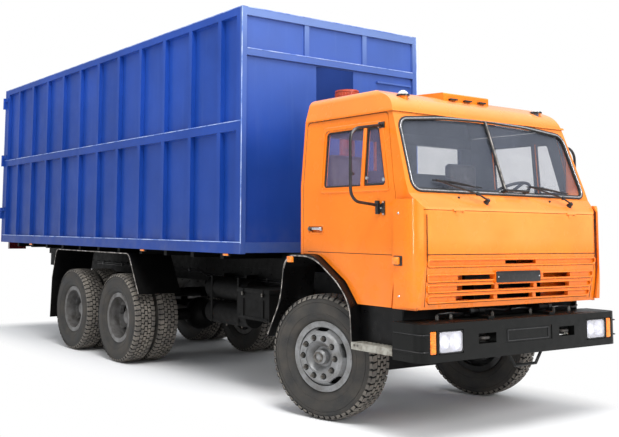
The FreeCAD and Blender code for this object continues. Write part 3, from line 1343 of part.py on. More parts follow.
def front_fender(word, side):
    """The flared arch over a front wheel and the step ahead of it, hung under the cab."""
    out = s.bumper_half - s.step_inset
    y = (s.cab_half - 300, out)
    y = y if side > 0 else (-y[1], -y[0])
    lift = s.cab_floor_z - s.fit_gap
    t = 16
    outer = [(FRONT - 600, 640), (FRONT - 405, 989, 200), (FRONT - 345, lift, 140),
             (FRONT + 60, lift, 200),
             (FRONT + s.arch_front_x - 5, s.arch_shoulder_z - 5, 200),
             (FRONT + s.step_rear_x - 5, s.cab_low_z, 60),
             (FRONT + s.step_rear_x + 20, s.step_z - 14)]
    inner = [(FRONT + s.step_rear_x + 20 - t, s.step_z - 14),
             (FRONT + s.step_rear_x - 5 - t, s.cab_low_z - 4, 60),
             (FRONT + s.arch_front_x - 15, s.arch_shoulder_z - 20, 190),
             (FRONT + 54, lift - t, 190), (FRONT - 335, lift - t, 124),
             (FRONT - 405 + t, 985, 200), (FRONT - 600 + t, 640)]
    whole = prism("fender_whole_" + word, "XZ", outer + inner, *y)
    lip = out - 130
    sweep = (y[0] - 1, lip) if side > 0 else (-lip, y[1] + 1)
    arch = cut("fender_arch_" + word, whole, block(
        "wheel_sweep_" + word, (FRONT - 620, FRONT + 620), sweep, (600, 985)))
    edge = (lip, out) if side > 0 else (-out, -lip)
    step = block("step_plate_" + word, (FRONT + s.step_rear_x + 4, FRONT + s.step_front_x), edge,
                 (s.step_z - 14, s.step_z))
    apron_y = side * (lip + 10)
    apron = block("step_apron_" + word, (FRONT + s.step_rear_x + 4, FRONT + s.step_front_x),
                  (apron_y - 10, apron_y + 10), (s.step_z - 14, s.cab_low_z - s.fit_gap))
    return fuse("fender_" + word, arch, step, apron)


def rear_guards():
    """A flat-topped guard over each pair of driven wheels, with a flap behind."""
    guards = []
    for word, side in SIDES.items():
        y = (s.body_half - 10 - s.guard_width, s.body_half - 10)
        y = y if side > 0 else (-y[1], -y[0])
        top = BEARER_LOW - s.fit_gap
        outer = [(REAR - 735, 360), (REAR - 700, 900), (REAR - 560, top, 60), (MID + 290, top, 60),
                 (MID + 560, 850)]
        inner = [(MID + 552, 846), (MID + 284, top - 8, 52), (REAR - 556, top - 8, 52),
                 (REAR - 692, 896), (REAR - 727, 360)]
        guards.append(prism("guard_" + word, "XZ", outer + inner, *y))
    keep("rear_guards", gather("rear_guards", *guards))


def tail_lamps():
    y, half = s.body_half - s.tail_lamp_inset, s.tail_lamp_width / 2
    keep("tail_lamps", gather("tail_lamps", *[
        block("tail_lamp_" + word, (BODY_REAR + 20, BODY_REAR + 80), (side * y - half, side * y + half),
              (s.body_bottom_z - 110, s.floor_z - s.floor_depth - s.fit_gap))
        for word, side in SIDES.items()]))


def air_intake():
    x, y = FRONT - 430, -SPRING_Y
    keep("air_intake", fuse("air_intake", rod("intake_pipe", "z", (x, y, s.rail_top_z + s.fit_gap),
                                              75, 1700),
                            rod("intake_cap", "z", (x, y, 2880), 113, 110)))


def main():
    for word, side in SIDES.items():
        front_wheel(word, side)
        knuckle(word, side)
        for place, x in (("mid", MID), ("rear", REAR)):
            rear_wheels(place, x, word, side)
        side_wall(word, side)
        gate(word, side)
    ladder_frame()
    front_axle_beam()
    front_springs()
    rear_suspension()
    drive_axle("mid_axle", MID)
    drive_axle("rear_axle", REAR)
    driveline()
    engine_and_cooling()
    tanks()
    front_wall()
    load_floor()
    cab()
    cab_inside()
    bumper()
    keep("front_fenders", gather("front_fenders", *[front_fender(word, side)
                                                    for word, side in SIDES.items()]))
    rear_guards()
    tail_lamps()
    air_intake()
    doc.recompute()
    check_and_write()


def check_and_write():
    """Stops on any failed object, then writes each sub-part."""
    failed = [obj.Name for obj in doc.Objects if "Invalid" in obj.State or "Error" in obj.State]
    failed += [name for name, obj in NODES.items()
               if obj.Shape.isNull() or not obj.Shape.isValid() or not obj.Shape.Solids]
    if failed:
        raise RuntimeError("failed: " + ", ".join(failed))
    for name, obj in NODES.items():
        obj.Shape.exportStep(os.path.join("parts", name + ".step"))


main()
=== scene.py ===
"""Looks of a three-axle cab-over truck with a high ribbed load body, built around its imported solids.

Everything is in metres: +X forward, +Y to the truck's left, +Z up, the ground at z = 0.
"""

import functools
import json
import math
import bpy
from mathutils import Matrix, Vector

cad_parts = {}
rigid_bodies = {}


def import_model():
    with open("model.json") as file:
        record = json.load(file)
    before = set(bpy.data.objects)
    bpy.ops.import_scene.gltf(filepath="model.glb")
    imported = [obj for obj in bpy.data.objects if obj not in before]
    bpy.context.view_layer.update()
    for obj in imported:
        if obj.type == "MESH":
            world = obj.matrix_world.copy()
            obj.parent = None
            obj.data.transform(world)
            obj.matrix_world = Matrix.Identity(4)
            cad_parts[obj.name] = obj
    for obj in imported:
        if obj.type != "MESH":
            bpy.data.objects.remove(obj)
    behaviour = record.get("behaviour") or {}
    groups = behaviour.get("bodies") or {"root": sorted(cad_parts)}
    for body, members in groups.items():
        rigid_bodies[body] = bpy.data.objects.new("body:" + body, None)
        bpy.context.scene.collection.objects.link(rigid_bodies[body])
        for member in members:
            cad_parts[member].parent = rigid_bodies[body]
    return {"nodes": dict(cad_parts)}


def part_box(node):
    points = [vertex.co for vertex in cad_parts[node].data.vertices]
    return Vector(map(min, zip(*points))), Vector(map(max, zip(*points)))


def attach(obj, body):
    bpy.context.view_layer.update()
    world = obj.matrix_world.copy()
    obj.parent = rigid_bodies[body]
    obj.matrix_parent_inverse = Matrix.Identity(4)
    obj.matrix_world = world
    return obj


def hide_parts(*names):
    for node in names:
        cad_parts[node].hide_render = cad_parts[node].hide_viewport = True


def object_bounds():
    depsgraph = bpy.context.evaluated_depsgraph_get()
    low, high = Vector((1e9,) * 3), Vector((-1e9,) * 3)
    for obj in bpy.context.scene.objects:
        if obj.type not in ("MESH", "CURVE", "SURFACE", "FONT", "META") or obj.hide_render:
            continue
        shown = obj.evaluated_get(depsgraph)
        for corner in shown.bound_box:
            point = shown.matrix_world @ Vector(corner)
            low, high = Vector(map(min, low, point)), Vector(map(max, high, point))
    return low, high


bl_info = {
    "name": "Cab-over truck with a ribbed load body",
    "version": (1, 0, 0),
    "blender": (4, 5, 0),
    "location": "View3D > Sidebar > Truck",
    "description": "Paint, glass, tyres, trim and a plain stage for a three-axle truck",
    "category": "Object",
}

import bmesh
import bpy
from bpy.props import FloatProperty, FloatVectorProperty, IntProperty, PointerProperty
from mathutils import Matrix, Vector

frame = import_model()
CAD_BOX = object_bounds()

SIDES = {"right": -1, "left": 1}
ALONG, ACROSS, UP = (1, 0, 0), (0, 1, 0), (0, 0, 1)


def middle(node):
    low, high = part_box(node)
    return (low + high) / 2


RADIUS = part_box("tyres_mid_right")[1].z / 2
FRONT_X, MID_X, REAR_X = (middle(node).x for node in (
    "front_axle_beam", "tyres_mid_right", "tyres_rear_right"))

# The cab's outline, as (x from the front axle, z): windscreen foot and head, and the lid's face
SCREEN_FOOT, SCREEN_HEAD = (1.130, 1.915), (0.905, 2.601)
SCREEN_OUT = Vector((0.686, 0, 0.225)).normalized()
NOSE_X, NOSE_TOP, NOSE_CREASE, CHIN_X, CHIN_Z = 1.242, 1.783, 1.435, 1.176, 1.014
COWL_OUT = Vector((SCREEN_FOOT[1] - NOSE_TOP, 0, NOSE_X - SCREEN_FOOT[0])).normalized()
BUMPER_X = 1.325


# Shader maths

class Socket:
    """A shader value or colour; + - * on it add Math nodes."""

    def __init__(self, shader, socket):
        self.shader = shader
        self.socket = socket

    def math(self, operation, *others):
        return self.shader.add("ShaderNodeMath", {"operation": operation}, self, *others)

    def __add__(self, other):
        return self.math("ADD", other)

    def __sub__(self, other):
        return self.math("SUBTRACT", other)

    def __mul__(self, other):
        return self.math("MULTIPLY", other)

    __radd__ = __add__

    def clamped(self):
        return self.shader.add("ShaderNodeClamp", {}, self)


class Shader:
    """One material's node tree, with a Principled surface."""

    def __init__(self, name):
        self.material = bpy.data.materials.new(name)
        self.material.use_nodes = True
        self.tree = self.material.node_tree
        self.surface = self.tree.nodes["Principled BSDF"]
        self.place = self.add("ShaderNodeTexCoord", {}, out="Object")

    def add(self, kind, settings, *values, out=0, **named):
        """Adds a node: its settings, its inputs in order or by name, and the output wanted."""
        node = self.tree.nodes.new(kind)
        for key, value in settings.items():
            setattr(node, key, value)
        for key, value in enumerate(values):
            self.feed(node.inputs[key], value)
        for key, value in named.items():
            self.feed(node.inputs[key], value)
        return Socket(self, node.outputs[out])

    def feed(self, slot, value):
        if isinstance(value, Socket):
            self.tree.links.new(value.socket, slot)
        elif slot.type == "RGBA":
            slot.default_value = (*value, 1)
        else:
            slot.default_value = value

    def noise(self, scale, detail, stretch=None):
        """Fractal noise from 0 to 1, optionally stretched along the axes."""
        place = self.place
        if stretch:
            place = self.add("ShaderNodeMapping", {}, place, Scale=stretch)
        return self.add("ShaderNodeTexNoise", {}, Vector=place, Scale=scale, Detail=detail, Roughness=0.55)

    def cells(self, scale):
        return self.add("ShaderNodeTexVoronoi", {}, Vector=self.place, Scale=scale, out="Distance")

    def ribs(self, way, scale):
        return self.add("ShaderNodeTexWave", {"bands_direction": way, "wave_profile": "SIN"},
                        Vector=self.place, Scale=scale)

    def span(self, value, low, high, to_low=0.0, to_high=1.0):
        """Maps low..high of a value to to_low..to_high, clamped."""
        return self.add("ShaderNodeMapRange", {"clamp": True}, value, low, high, to_low, to_high)

    def patches(self, scale, detail, low, high, *to):
        """Noise between two levels, as a mask."""
        return self.span(self.noise(scale, detail), low, high, *to)

    def mix(self, share, first, second):
        node = self.tree.nodes.new("ShaderNodeMix")
        node.data_type = "RGBA"
        for slot, value in ((0, share), (6, first), (7, second)):
            self.feed(node.inputs[slot], value)
        return Socket(self, node.outputs[2])

    def axis(self, index):
        """One of the object's own coordinates."""
        return self.add("ShaderNodeSeparateXYZ", {}, self.place, out=index)

    def height(self, low, high, *to):
        """A mask between two heights."""
        return self.span(self.axis(2), low, high, *to)

    def upward(self, low, high):
        """A mask of how far a face looks up, between two levels from -1 to 1."""
        normal = self.add("ShaderNodeNewGeometry", {}, out="Normal")
        return self.span(self.add("ShaderNodeSeparateXYZ", {}, normal, out=2), low, high)

    def facing(self, index):
        """How far a face looks along one of the object's own axes, from -1 to 1."""
        normal = self.add("ShaderNodeTexCoord", {}, out="Normal")
        return self.add("ShaderNodeSeparateXYZ", {}, normal, out=index)

    def bump(self, height, strength, distance):
        return self.add("ShaderNodeBump", {}, Strength=strength, Distance=distance, Height=height)

    def finish(self, **inputs):
        for key, value in inputs.items():
            self.feed(self.surface.inputs[key.replace("_", " ")], value)
        return self.material


def srgb(r, g, b):
    """A colour given as it looks on screen, 0 to 255, as linear light."""
    return tuple(c / 12.92 if c <= 0.04045 else ((c + 0.055) / 1.055) ** 2.4
                 for c in (r / 255, g / 255, b / 255))


def settings():
    return bpy.context.scene.truck


# Finishes

MAKERS = {}


def material(function):
    """Lists a finish under its function's name."""
    MAKERS[function.__name__] = function
    return function


def materials(function, table):
    """Lists a table's finishes, each made by one function from its row."""
    for name, row in table.items():
        MAKERS[name] = functools.partial(function, **row)


@functools.cache
def finish(name):
    """A finish's material, made when it is first asked for."""
    return MAKERS[name](Shader(name))


@material
def cab_paint(m):
    """Glossy orange paint, a little faded in places, with a painted highlight on its upward faces high up
    and a painted reflection on the lid's upper face, dusty low down, black below its lower edge and grey
    inside the cab.
    """
    base = tuple(settings().cab_colour)
    faded = tuple(min(1.0, c * 1.04 + 0.004) for c in base)
    deep = tuple(c * 0.88 for c in base)
    colour = m.mix(m.patches(1.7, 5, 0.35, 0.68), deep, faded)
    # Painted highlight: upward faces high on the cab, such as the roof's front, are mixed towards pale
    # orange.
    colour = m.mix(m.upward(0.12, 0.9) * m.height(1.8, 2.6, 0.14, 0.36), colour, srgb(255, 206, 160))
    along, across = m.axis(0), m.axis(1)
    # Painted reflection: the lid's upright upper face, above its crease, is mixed in patches towards pale
    # orange.
    lid = m.span(along, FRONT_X + NOSE_X - 0.03, FRONT_X + NOSE_X - 0.008) * m.height(1.43, 1.56)
    colour = m.mix(lid * m.patches(1.3, 3, 0.3, 0.7, 0.10, 0.30), colour, srgb(255, 196, 122))
    dust = m.height(1.55, 1.0) * m.patches(9, 6, 0.4, 0.7) * 0.22
    colour = m.mix(dust, colour, srgb(150, 120, 90))
    colour = m.mix(m.height(1.017, 1.012), colour, srgb(20, 20, 20))
    ahead, aside = m.facing(0), m.facing(1)
    inner = m.span(across * aside, -0.10, -0.35) * m.span(along, FRONT_X + 0.98, FRONT_X + 0.92)
    under = m.upward(-0.35, -0.75) * m.height(2.30, 2.40)
    header = m.span(ahead, -0.3, -0.7) * m.span(along, FRONT_X + 0.2, FRONT_X + 0.3)
    back = m.span(ahead, 0.5, 0.8) * m.span(along, FRONT_X - 0.02, FRONT_X - 0.05)
    lined = (inner + under + header + back).clamped() * m.height(1.6, 1.7)
    return m.finish(Base_Color=m.mix(lined, colour, srgb(84, 86, 92)),
                    Roughness=m.patches(6, 4, 0.3, 0.7, 0.2, 0.3) + dust,
                    Coat_Weight=0.4, Coat_Roughness=0.05, Specular_IOR_Level=0.2,
                    Normal=m.bump(m.noise(160, 2) * 0.10 + m.noise(2.2, 2) * 0.9, 0.08, 0.004))


@material
def body_paint(m):
    """Blue paint on hand-welded sheet: soft dents, faint drips, dust low down, dust and a painted sheen on
    ledges, pale rails that are partly a painted highlight, painted shade darker towards the bottom and
    inside the body, and painted light on the upper front wall.
    """
    base = tuple(settings().body_colour)
    deep = tuple(c * 0.80 for c in base)
    light = tuple(min(1.0, c * 1.12 + 0.006) for c in base)
    colour = m.mix(m.patches(1.1, 6, 0.32, 0.7), deep, light)
    streak = m.span(m.noise(3.0, 5, (5.0, 5.0, 0.35)), 0.56, 0.78) * 0.12
    colour = m.mix(streak, colour, srgb(96, 126, 190))
    shadow = (base[0] * 0.3, base[1] * 0.55, base[2] * 0.58)
    colour = m.mix(m.height(3.6, 1.9, 0.0, 0.55), colour, shadow)
    # Dust and a painted sheen: faces that look up are mixed in patches towards pale blue.
    ledge_dust_and_sheen = m.upward(0.55, 0.95) * m.patches(5, 5, 0.3, 0.62) * 0.55
    colour = m.mix(ledge_dust_and_sheen, colour, srgb(136, 158, 205))
    low = m.height(1.75, 1.35) * m.patches(7, 6, 0.42, 0.72) * 0.25
    colour = m.mix(low, colour, srgb(104, 106, 120))
    along, across = m.axis(0), m.axis(1).math("ABSOLUTE")
    # Painted shade: the body's inner faces, between the front wall and the gate, are darkened towards navy.
    inside = m.span(across, 1.176, 1.166) * m.span(along, 2.175, 2.150) * m.span(along, -4.490, -4.450)
    colour = m.mix(inside * 0.70, colour, srgb(18, 24, 50))
    # Painted light: the front wall's outer face is paler and greyer towards its top.
    front = m.span(along, 2.176, 2.183) * m.height(2.6, 3.5) * 0.22
    colour = m.mix(front, colour, srgb(124, 142, 176))
    # Pale rails, partly paler paint and partly a painted highlight: the front rails' outer faces are mixed
    # towards pale blue, more towards the top.
    rail_paint_and_highlight = m.span(along, 2.190, 2.204) * m.height(3.44, 3.78, 0.10, 0.34)
    dents = m.noise(1.9, 3) * 0.9 + m.noise(9, 3) * 0.14
    return m.finish(Base_Color=m.mix(rail_paint_and_highlight, colour, srgb(146, 170, 206)),
                    Roughness=m.patches(4, 5, 0.3, 0.7, 0.34, 0.5) + ledge_dust_and_sheen * 0.3,
                    Coat_Weight=0.12, Coat_Roughness=0.15, Specular_IOR_Level=0.26,
                    Normal=m.bump(dents + m.noise(210, 2) * 0.02, 0.22, 0.012))


@material
def wheel_paint(m):
    """Grey wheel enamel with brake dust and road grime, and painted shade on the wheel's inner side behind
    the disc.
    """
    grime = m.patches(11, 7, 0.38, 0.7)
    colour = m.mix(grime * 0.6, srgb(147, 148, 149), srgb(98, 93, 87))
    colour = m.mix(m.patches(60, 5, 0.6, 0.72) * 0.5, colour, srgb(72, 62, 54))
    # Painted shade: the inner side of the wheel, towards the truck's middle, is darkened nearly to black.
    colour = m.mix(m.span(m.axis(1).math("ABSOLUTE"), 1.03, 0.97), colour, srgb(24, 23, 22))
    return m.finish(Base_Color=colour, Roughness=m.span(grime, 0, 1, 0.36, 0.62), Metallic=0.25,
                    Normal=m.bump(m.noise(85, 4), 0.12, 0.002))


@material
def tyre_rubber(m):
    """Worn black rubber, dusty along the sidewall."""
    dust = m.patches(7, 8, 0.36, 0.7)
    colour = m.mix(dust * 0.55, srgb(38, 38, 38), srgb(92, 86, 78))
    colour = m.mix(m.patches(130, 4, 0.45, 0.7) * 0.35, colour, srgb(70, 66, 60))
    return m.finish(Base_Color=colour, Roughness=m.span(dust, 0, 1, 0.62, 0.9),
                    Normal=m.bump(m.noise(190, 4) * 0.6 + m.noise(30, 3), 0.16, 0.002))


@material
def cab_plastic(m):
    """Grained black moulding of the dashboard and steering wheel."""
    colour = m.mix(m.patches(6, 5, 0.3, 0.7) * 0.5, srgb(33, 33, 34), srgb(48, 46, 44))
    return m.finish(Base_Color=colour, Roughness=m.patches(20, 3, 0.3, 0.7, 0.5, 0.66),
                    Normal=m.bump(m.cells(420), 0.12, 0.0008))


@material
def seat_cover(m):
    """Creased brown-grey leathercloth."""
    wear = m.patches(7, 6, 0.34, 0.7)
    return m.finish(Base_Color=m.mix(wear, srgb(86, 76, 72), srgb(124, 112, 106)),
                    Roughness=m.span(wear, 0, 1, 0.34, 0.56),
                    Normal=m.bump(m.cells(340) * 0.12 + m.noise(14, 3, (1.0, 2.6, 0.8)), 0.3, 0.006))


@material
def lining_cloth(m):
    """Dark grey padded lining of the cab's walls and ceiling."""
    return m.finish(Base_Color=m.mix(m.patches(5, 5, 0.3, 0.7), srgb(66, 68, 73), srgb(88, 90, 95)),
                    Roughness=m.patches(30, 3, 0.3, 0.7, 0.82, 0.95),
                    Normal=m.bump(m.cells(260), 0.2, 0.001))


@material
def floor_steel(m):
    """Scuffed steel floor, with painted shade on its underside."""
    scuff = m.span(m.noise(9, 9, (0.25, 1.0, 1.0)), 0.3, 0.75)
    colour = m.mix(scuff, srgb(66, 70, 84), srgb(98, 96, 96))
    # Painted shade: faces that look down are darkened nearly to black.
    return m.finish(Base_Color=m.mix(m.upward(0.1, -0.4), colour, srgb(13, 13, 14)),
                    Roughness=m.span(scuff, 0, 1, 0.45, 0.75), Metallic=0.3,
                    Normal=m.bump(m.noise(30, 5), 0.2, 0.003))


@material
def lamp_glass(m):
    """Fluted glass of the headlamps."""
    cloud = m.patches(14, 5, 0.35, 0.7)
    return m.finish(Base_Color=m.mix(cloud, srgb(246, 246, 252), srgb(214, 214, 226)),
                    Roughness=m.span(cloud, 0, 1, 0.06, 0.16), Alpha=m.span(cloud, 0, 1, 0.34, 0.52),
                    Coat_Weight=0.6, Normal=m.bump(m.ribs("Y", 24), 0.5, 0.004))


@material
def lit_bulb(m):
    """A lamp that is switched on."""
    return m.finish(Base_Color=srgb(252, 250, 255), Roughness=m.patches(80, 2, 0.3, 0.7, 0.3, 0.45),
                    Emission_Color=srgb(250, 246, 255), Emission_Strength=1.0)


def glazing(m, scale, colour, rough, alpha):
    """Thin tinted glass with a light film of dust."""
    film = m.patches(scale, 6, 0.42, 0.75)
    return m.finish(Base_Color=srgb(*colour), Roughness=m.span(film, 0, 1, 0.02, rough),
                    Alpha=m.span(film, 0, 1, *alpha), IOR=1.5)


def dusty_dark(m, base, dust, amount, gloss, shine=0.24):
    """Dark paint under a film of road dust that gathers on ledges and low down."""
    film = m.patches(5.5, 7, 0.34, 0.72)
    share = film * amount * (0.35 + m.height(1.3, 0.3)) + m.upward(0.3, 0.95) * film * amount
    return m.finish(Base_Color=m.mix(share.clamped(), srgb(*base), srgb(*dust)),
                    Roughness=m.patches(14, 4, 0.3, 0.7, gloss, gloss + 0.22), Specular_IOR_Level=shine,
                    Normal=m.bump(m.noise(60, 4) * 0.3 + m.noise(7, 3), 0.14, 0.004))


def moulded_lens(m, pale, deep):
    """Ribbed coloured plastic, a little deeper in its middle."""
    cloud = m.patches(30, 4, 0.3, 0.7)
    return m.finish(Base_Color=m.mix(cloud, srgb(*pale), srgb(*deep)), Coat_Weight=0.7,
                    Roughness=m.span(cloud, 0, 1, 0.1, 0.2), Normal=m.bump(m.ribs("Z", 46), 0.35, 0.0015))


def filmed(m, film, first, second, rough, grain=None, share=1, **constants):
    """A finish whose colour and gloss follow one patchy film between two colours, over a fine grain."""
    film = m.patches(*film)
    if grain:
        noise, strength, distance = grain
        constants["Normal"] = m.bump(m.noise(*noise), strength, distance)
    return m.finish(Base_Color=m.mix(film if share == 1 else film * share, srgb(*first), srgb(*second)),
                    Roughness=m.span(film, 0, 1, *rough), **constants)


materials(glazing, {
    "clear_glass": dict(scale=3, colour=(124, 130, 144), rough=0.1, alpha=(0.18, 0.22)),
    # The door glass's purplish tint is painted light: it stands in for the blue load body showing in the
    # side windows.
    "door_glazing": dict(scale=4, colour=(160, 150, 190), rough=0.08, alpha=(0.14, 0.20)),
})
materials(dusty_dark, {
    "chassis_paint": dict(base=(6, 6, 6), dust=(40, 37, 33), amount=0.10, gloss=0.44, shine=0.15),
    "bumper_paint": dict(base=(9, 10, 9), dust=(40, 40, 36), amount=0.05, gloss=0.26),
    "arch_plastic": dict(base=(8, 8, 9), dust=(50, 48, 44), amount=0.06, gloss=0.24),
})
materials(moulded_lens, {
    "amber_lens": dict(pale=(255, 158, 30), deep=(238, 104, 10)),
    "red_lens": dict(pale=(206, 34, 28), deep=(150, 18, 18)),
    "tail_plastic": dict(pale=(92, 24, 28), deep=(56, 18, 22)),
    "clear_lens": dict(pale=(236, 236, 232), deep=(206, 206, 204)),
})
materials(filmed, {
    # Pale blue paint of painted highlight along the body's outer edges, patchy along them
    "edge_highlight_paint": dict(film=(6, 6, 0.36, 0.66), first=(98, 132, 208), second=(184, 202, 238),
                       rough=(0.24, 0.4), grain=((60, 3), 0.08, 0.001), Coat_Weight=0.2),
    # The driven wheels' enamel, darker than the front wheels', under a film of road dust
    "driven_wheel_paint": dict(film=(9, 7, 0.34, 0.7), first=(126, 125, 124), second=(80, 76, 72),
                               rough=(0.42, 0.7), grain=((85, 4), 0.14, 0.002), Metallic=0.2),
    # The faces of the tread blocks, pale with dry road dust, and a near-black finish of painted shade for
    # the tread's grooves and other dark recesses and lines
    "block_rubber": dict(film=(9, 8, 0.34, 0.7), first=(86, 82, 78), second=(132, 125, 115),
                         rough=(0.7, 0.92), grain=((170, 4), 0.14, 0.002)),
    "painted_shade_black": dict(film=(20, 5, 0.4, 0.7), first=(7, 7, 7), second=(18, 17, 16),
                          rough=(0.85, 0.7), grain=((120, 3), 0.1, 0.002)),
    # Cast iron and bare steel under oil and dust
    "iron": dict(film=(8, 7, 0.35, 0.7), share=0.7, first=(58, 58, 60), second=(92, 84, 74),
                 rough=(0.42, 0.75), grain=((70, 5), 0.25, 0.003), Metallic=0.5),
    # Red paint of the air intake, rusting through
    "intake_paint": dict(film=(16, 6, 0.52, 0.72), first=(176, 66, 38), second=(108, 44, 30),
                         rough=(0.4, 0.8), grain=((50, 4), 0.1, 0.002)),
    # Plated steel dulled by road film
    "nut_steel": dict(film=(40, 5, 0.35, 0.7), first=(128, 126, 122), second=(78, 70, 62),
                      rough=(0.28, 0.6), grain=((240, 3), 0.12, 0.0006), Metallic=0.7),
    # Matt black window rubber with a little bloom
    "seal_rubber": dict(film=(18, 5, 0.42, 0.72), share=0.5, first=(24, 24, 25), second=(62, 60, 58),
                        rough=(0.5, 0.72), grain=((320, 2), 0.1, 0.0005)),
    # Polished trim with fine wear
    "bright_metal": dict(film=(55, 4, 0.45, 0.75), first=(226, 226, 228), second=(176, 174, 170),
                         rough=(0.12, 0.32), Metallic=0.9),
    # Black enamel on steel tube and moulded covers
    "satin_black": dict(film=(26, 5, 0.5, 0.76), share=0.5, first=(24, 24, 26), second=(74, 70, 66),
                        rough=(0.3, 0.52), grain=((150, 3), 0.08, 0.0008), Coat_Weight=0.1),
    # Silvered bowl behind a lamp's glass, with a faint painted glow standing in for the lit bulb's light
    "lamp_mirror": dict(film=(34, 3, 0.4, 0.7), first=(244, 244, 250), second=(214, 214, 224),
                        rough=(0.08, 0.2), Metallic=0.95, Emission_Color=srgb(246, 244, 255),
                        Emission_Strength=0.25),
    # Pale brushed aluminium of the step plates
    "step_metal": dict(film=(22, 6, 0.4, 0.72), first=(176, 174, 164), second=(120, 114, 104),
                       rough=(0.36, 0.6), grain=((60, 3, (0.4, 6.0, 6.0)), 0.12, 0.001), Metallic=0.45),
    # Dark edges rubbed back to pale metal in places, and brightened as a painted highlight along rolled rims
    "worn_and_highlit_edge": dict(film=(13, 6, 0.42, 0.66), first=(96, 92, 88), second=(204, 196, 188),
                      rough=(0.5, 0.34), grain=((90, 3), 0.1, 0.001), Metallic=0.35),
    # Dark dial with a film of light dust
    "dial_face": dict(film=(40, 4, 0.4, 0.7), first=(22, 24, 28), second=(60, 62, 66),
                      rough=(0.15, 0.3), Coat_Weight=0.5),
})

# The finish of each solid that shows as it is, by how its name begins
SOLID_FINISHES = (
    ("tyre", "tyre_rubber"), ("wheels_", "driven_wheel_paint"), ("wheel", "wheel_paint"),
    ("side_wall", "body_paint"), ("gate_", "body_paint"), ("front_wall", "body_paint"),
    ("load_floor", "floor_steel"), ("bumper", "bumper_paint"), ("front_fenders", "arch_plastic"),
    ("front_lamps", "lamp_glass"), ("tail_lamps", "tail_plastic"), ("seats", "seat_cover"),
    ("dashboard", "cab_plastic"), ("steering_wheel", "cab_plastic"), ("air_intake", "intake_paint"),
    ("engine_block", "iron"), ("gearbox", "iron"), ("radiator", "iron"), ("prop_shafts", "iron"),
    ("cab_glass", "clear_glass"), ("door_glass", "door_glazing"), ("cab_", "cab_paint"),
    ("front_lid", "cab_paint"), ("door_", "cab_paint"), ("", "chassis_paint"))


# Shapes

def rod_turn(way):
    """The turn that lays a shape drawn up Z along a direction."""
    return way.to_track_quat("Z", "Y").to_matrix().to_4x4()


def placed(name, data):
    """A new object in the scene for a mesh, a lamp or a camera."""
    obj = bpy.data.objects.new(name, data)
    bpy.context.scene.collection.objects.link(obj)
    return obj


def bevel(bm, geom, radius, segments, affect="EDGES"):
    return bmesh.ops.bevel(bm, geom=geom, offset=radius, offset_type="OFFSET", segments=segments,
                           profile=0.5, affect=affect, clamp_overlap=True, material=-1)


def block(bm, size, place, radius, segments):
    """A block about a place, with rounded edges."""
    made = bmesh.ops.create_cube(bm, size=1, matrix=place @ Matrix.Diagonal((*size, 1)))
    if radius:
        bevel(bm, list({e for v in made["verts"] for e in v.link_edges}), radius, segments)


def drawn(bm, name):
    """A mesh with a bmesh's shapes in it; the bmesh is freed."""
    mesh = bpy.data.meshes.new(name)
    bm.to_mesh(mesh)
    bm.free()
    return mesh


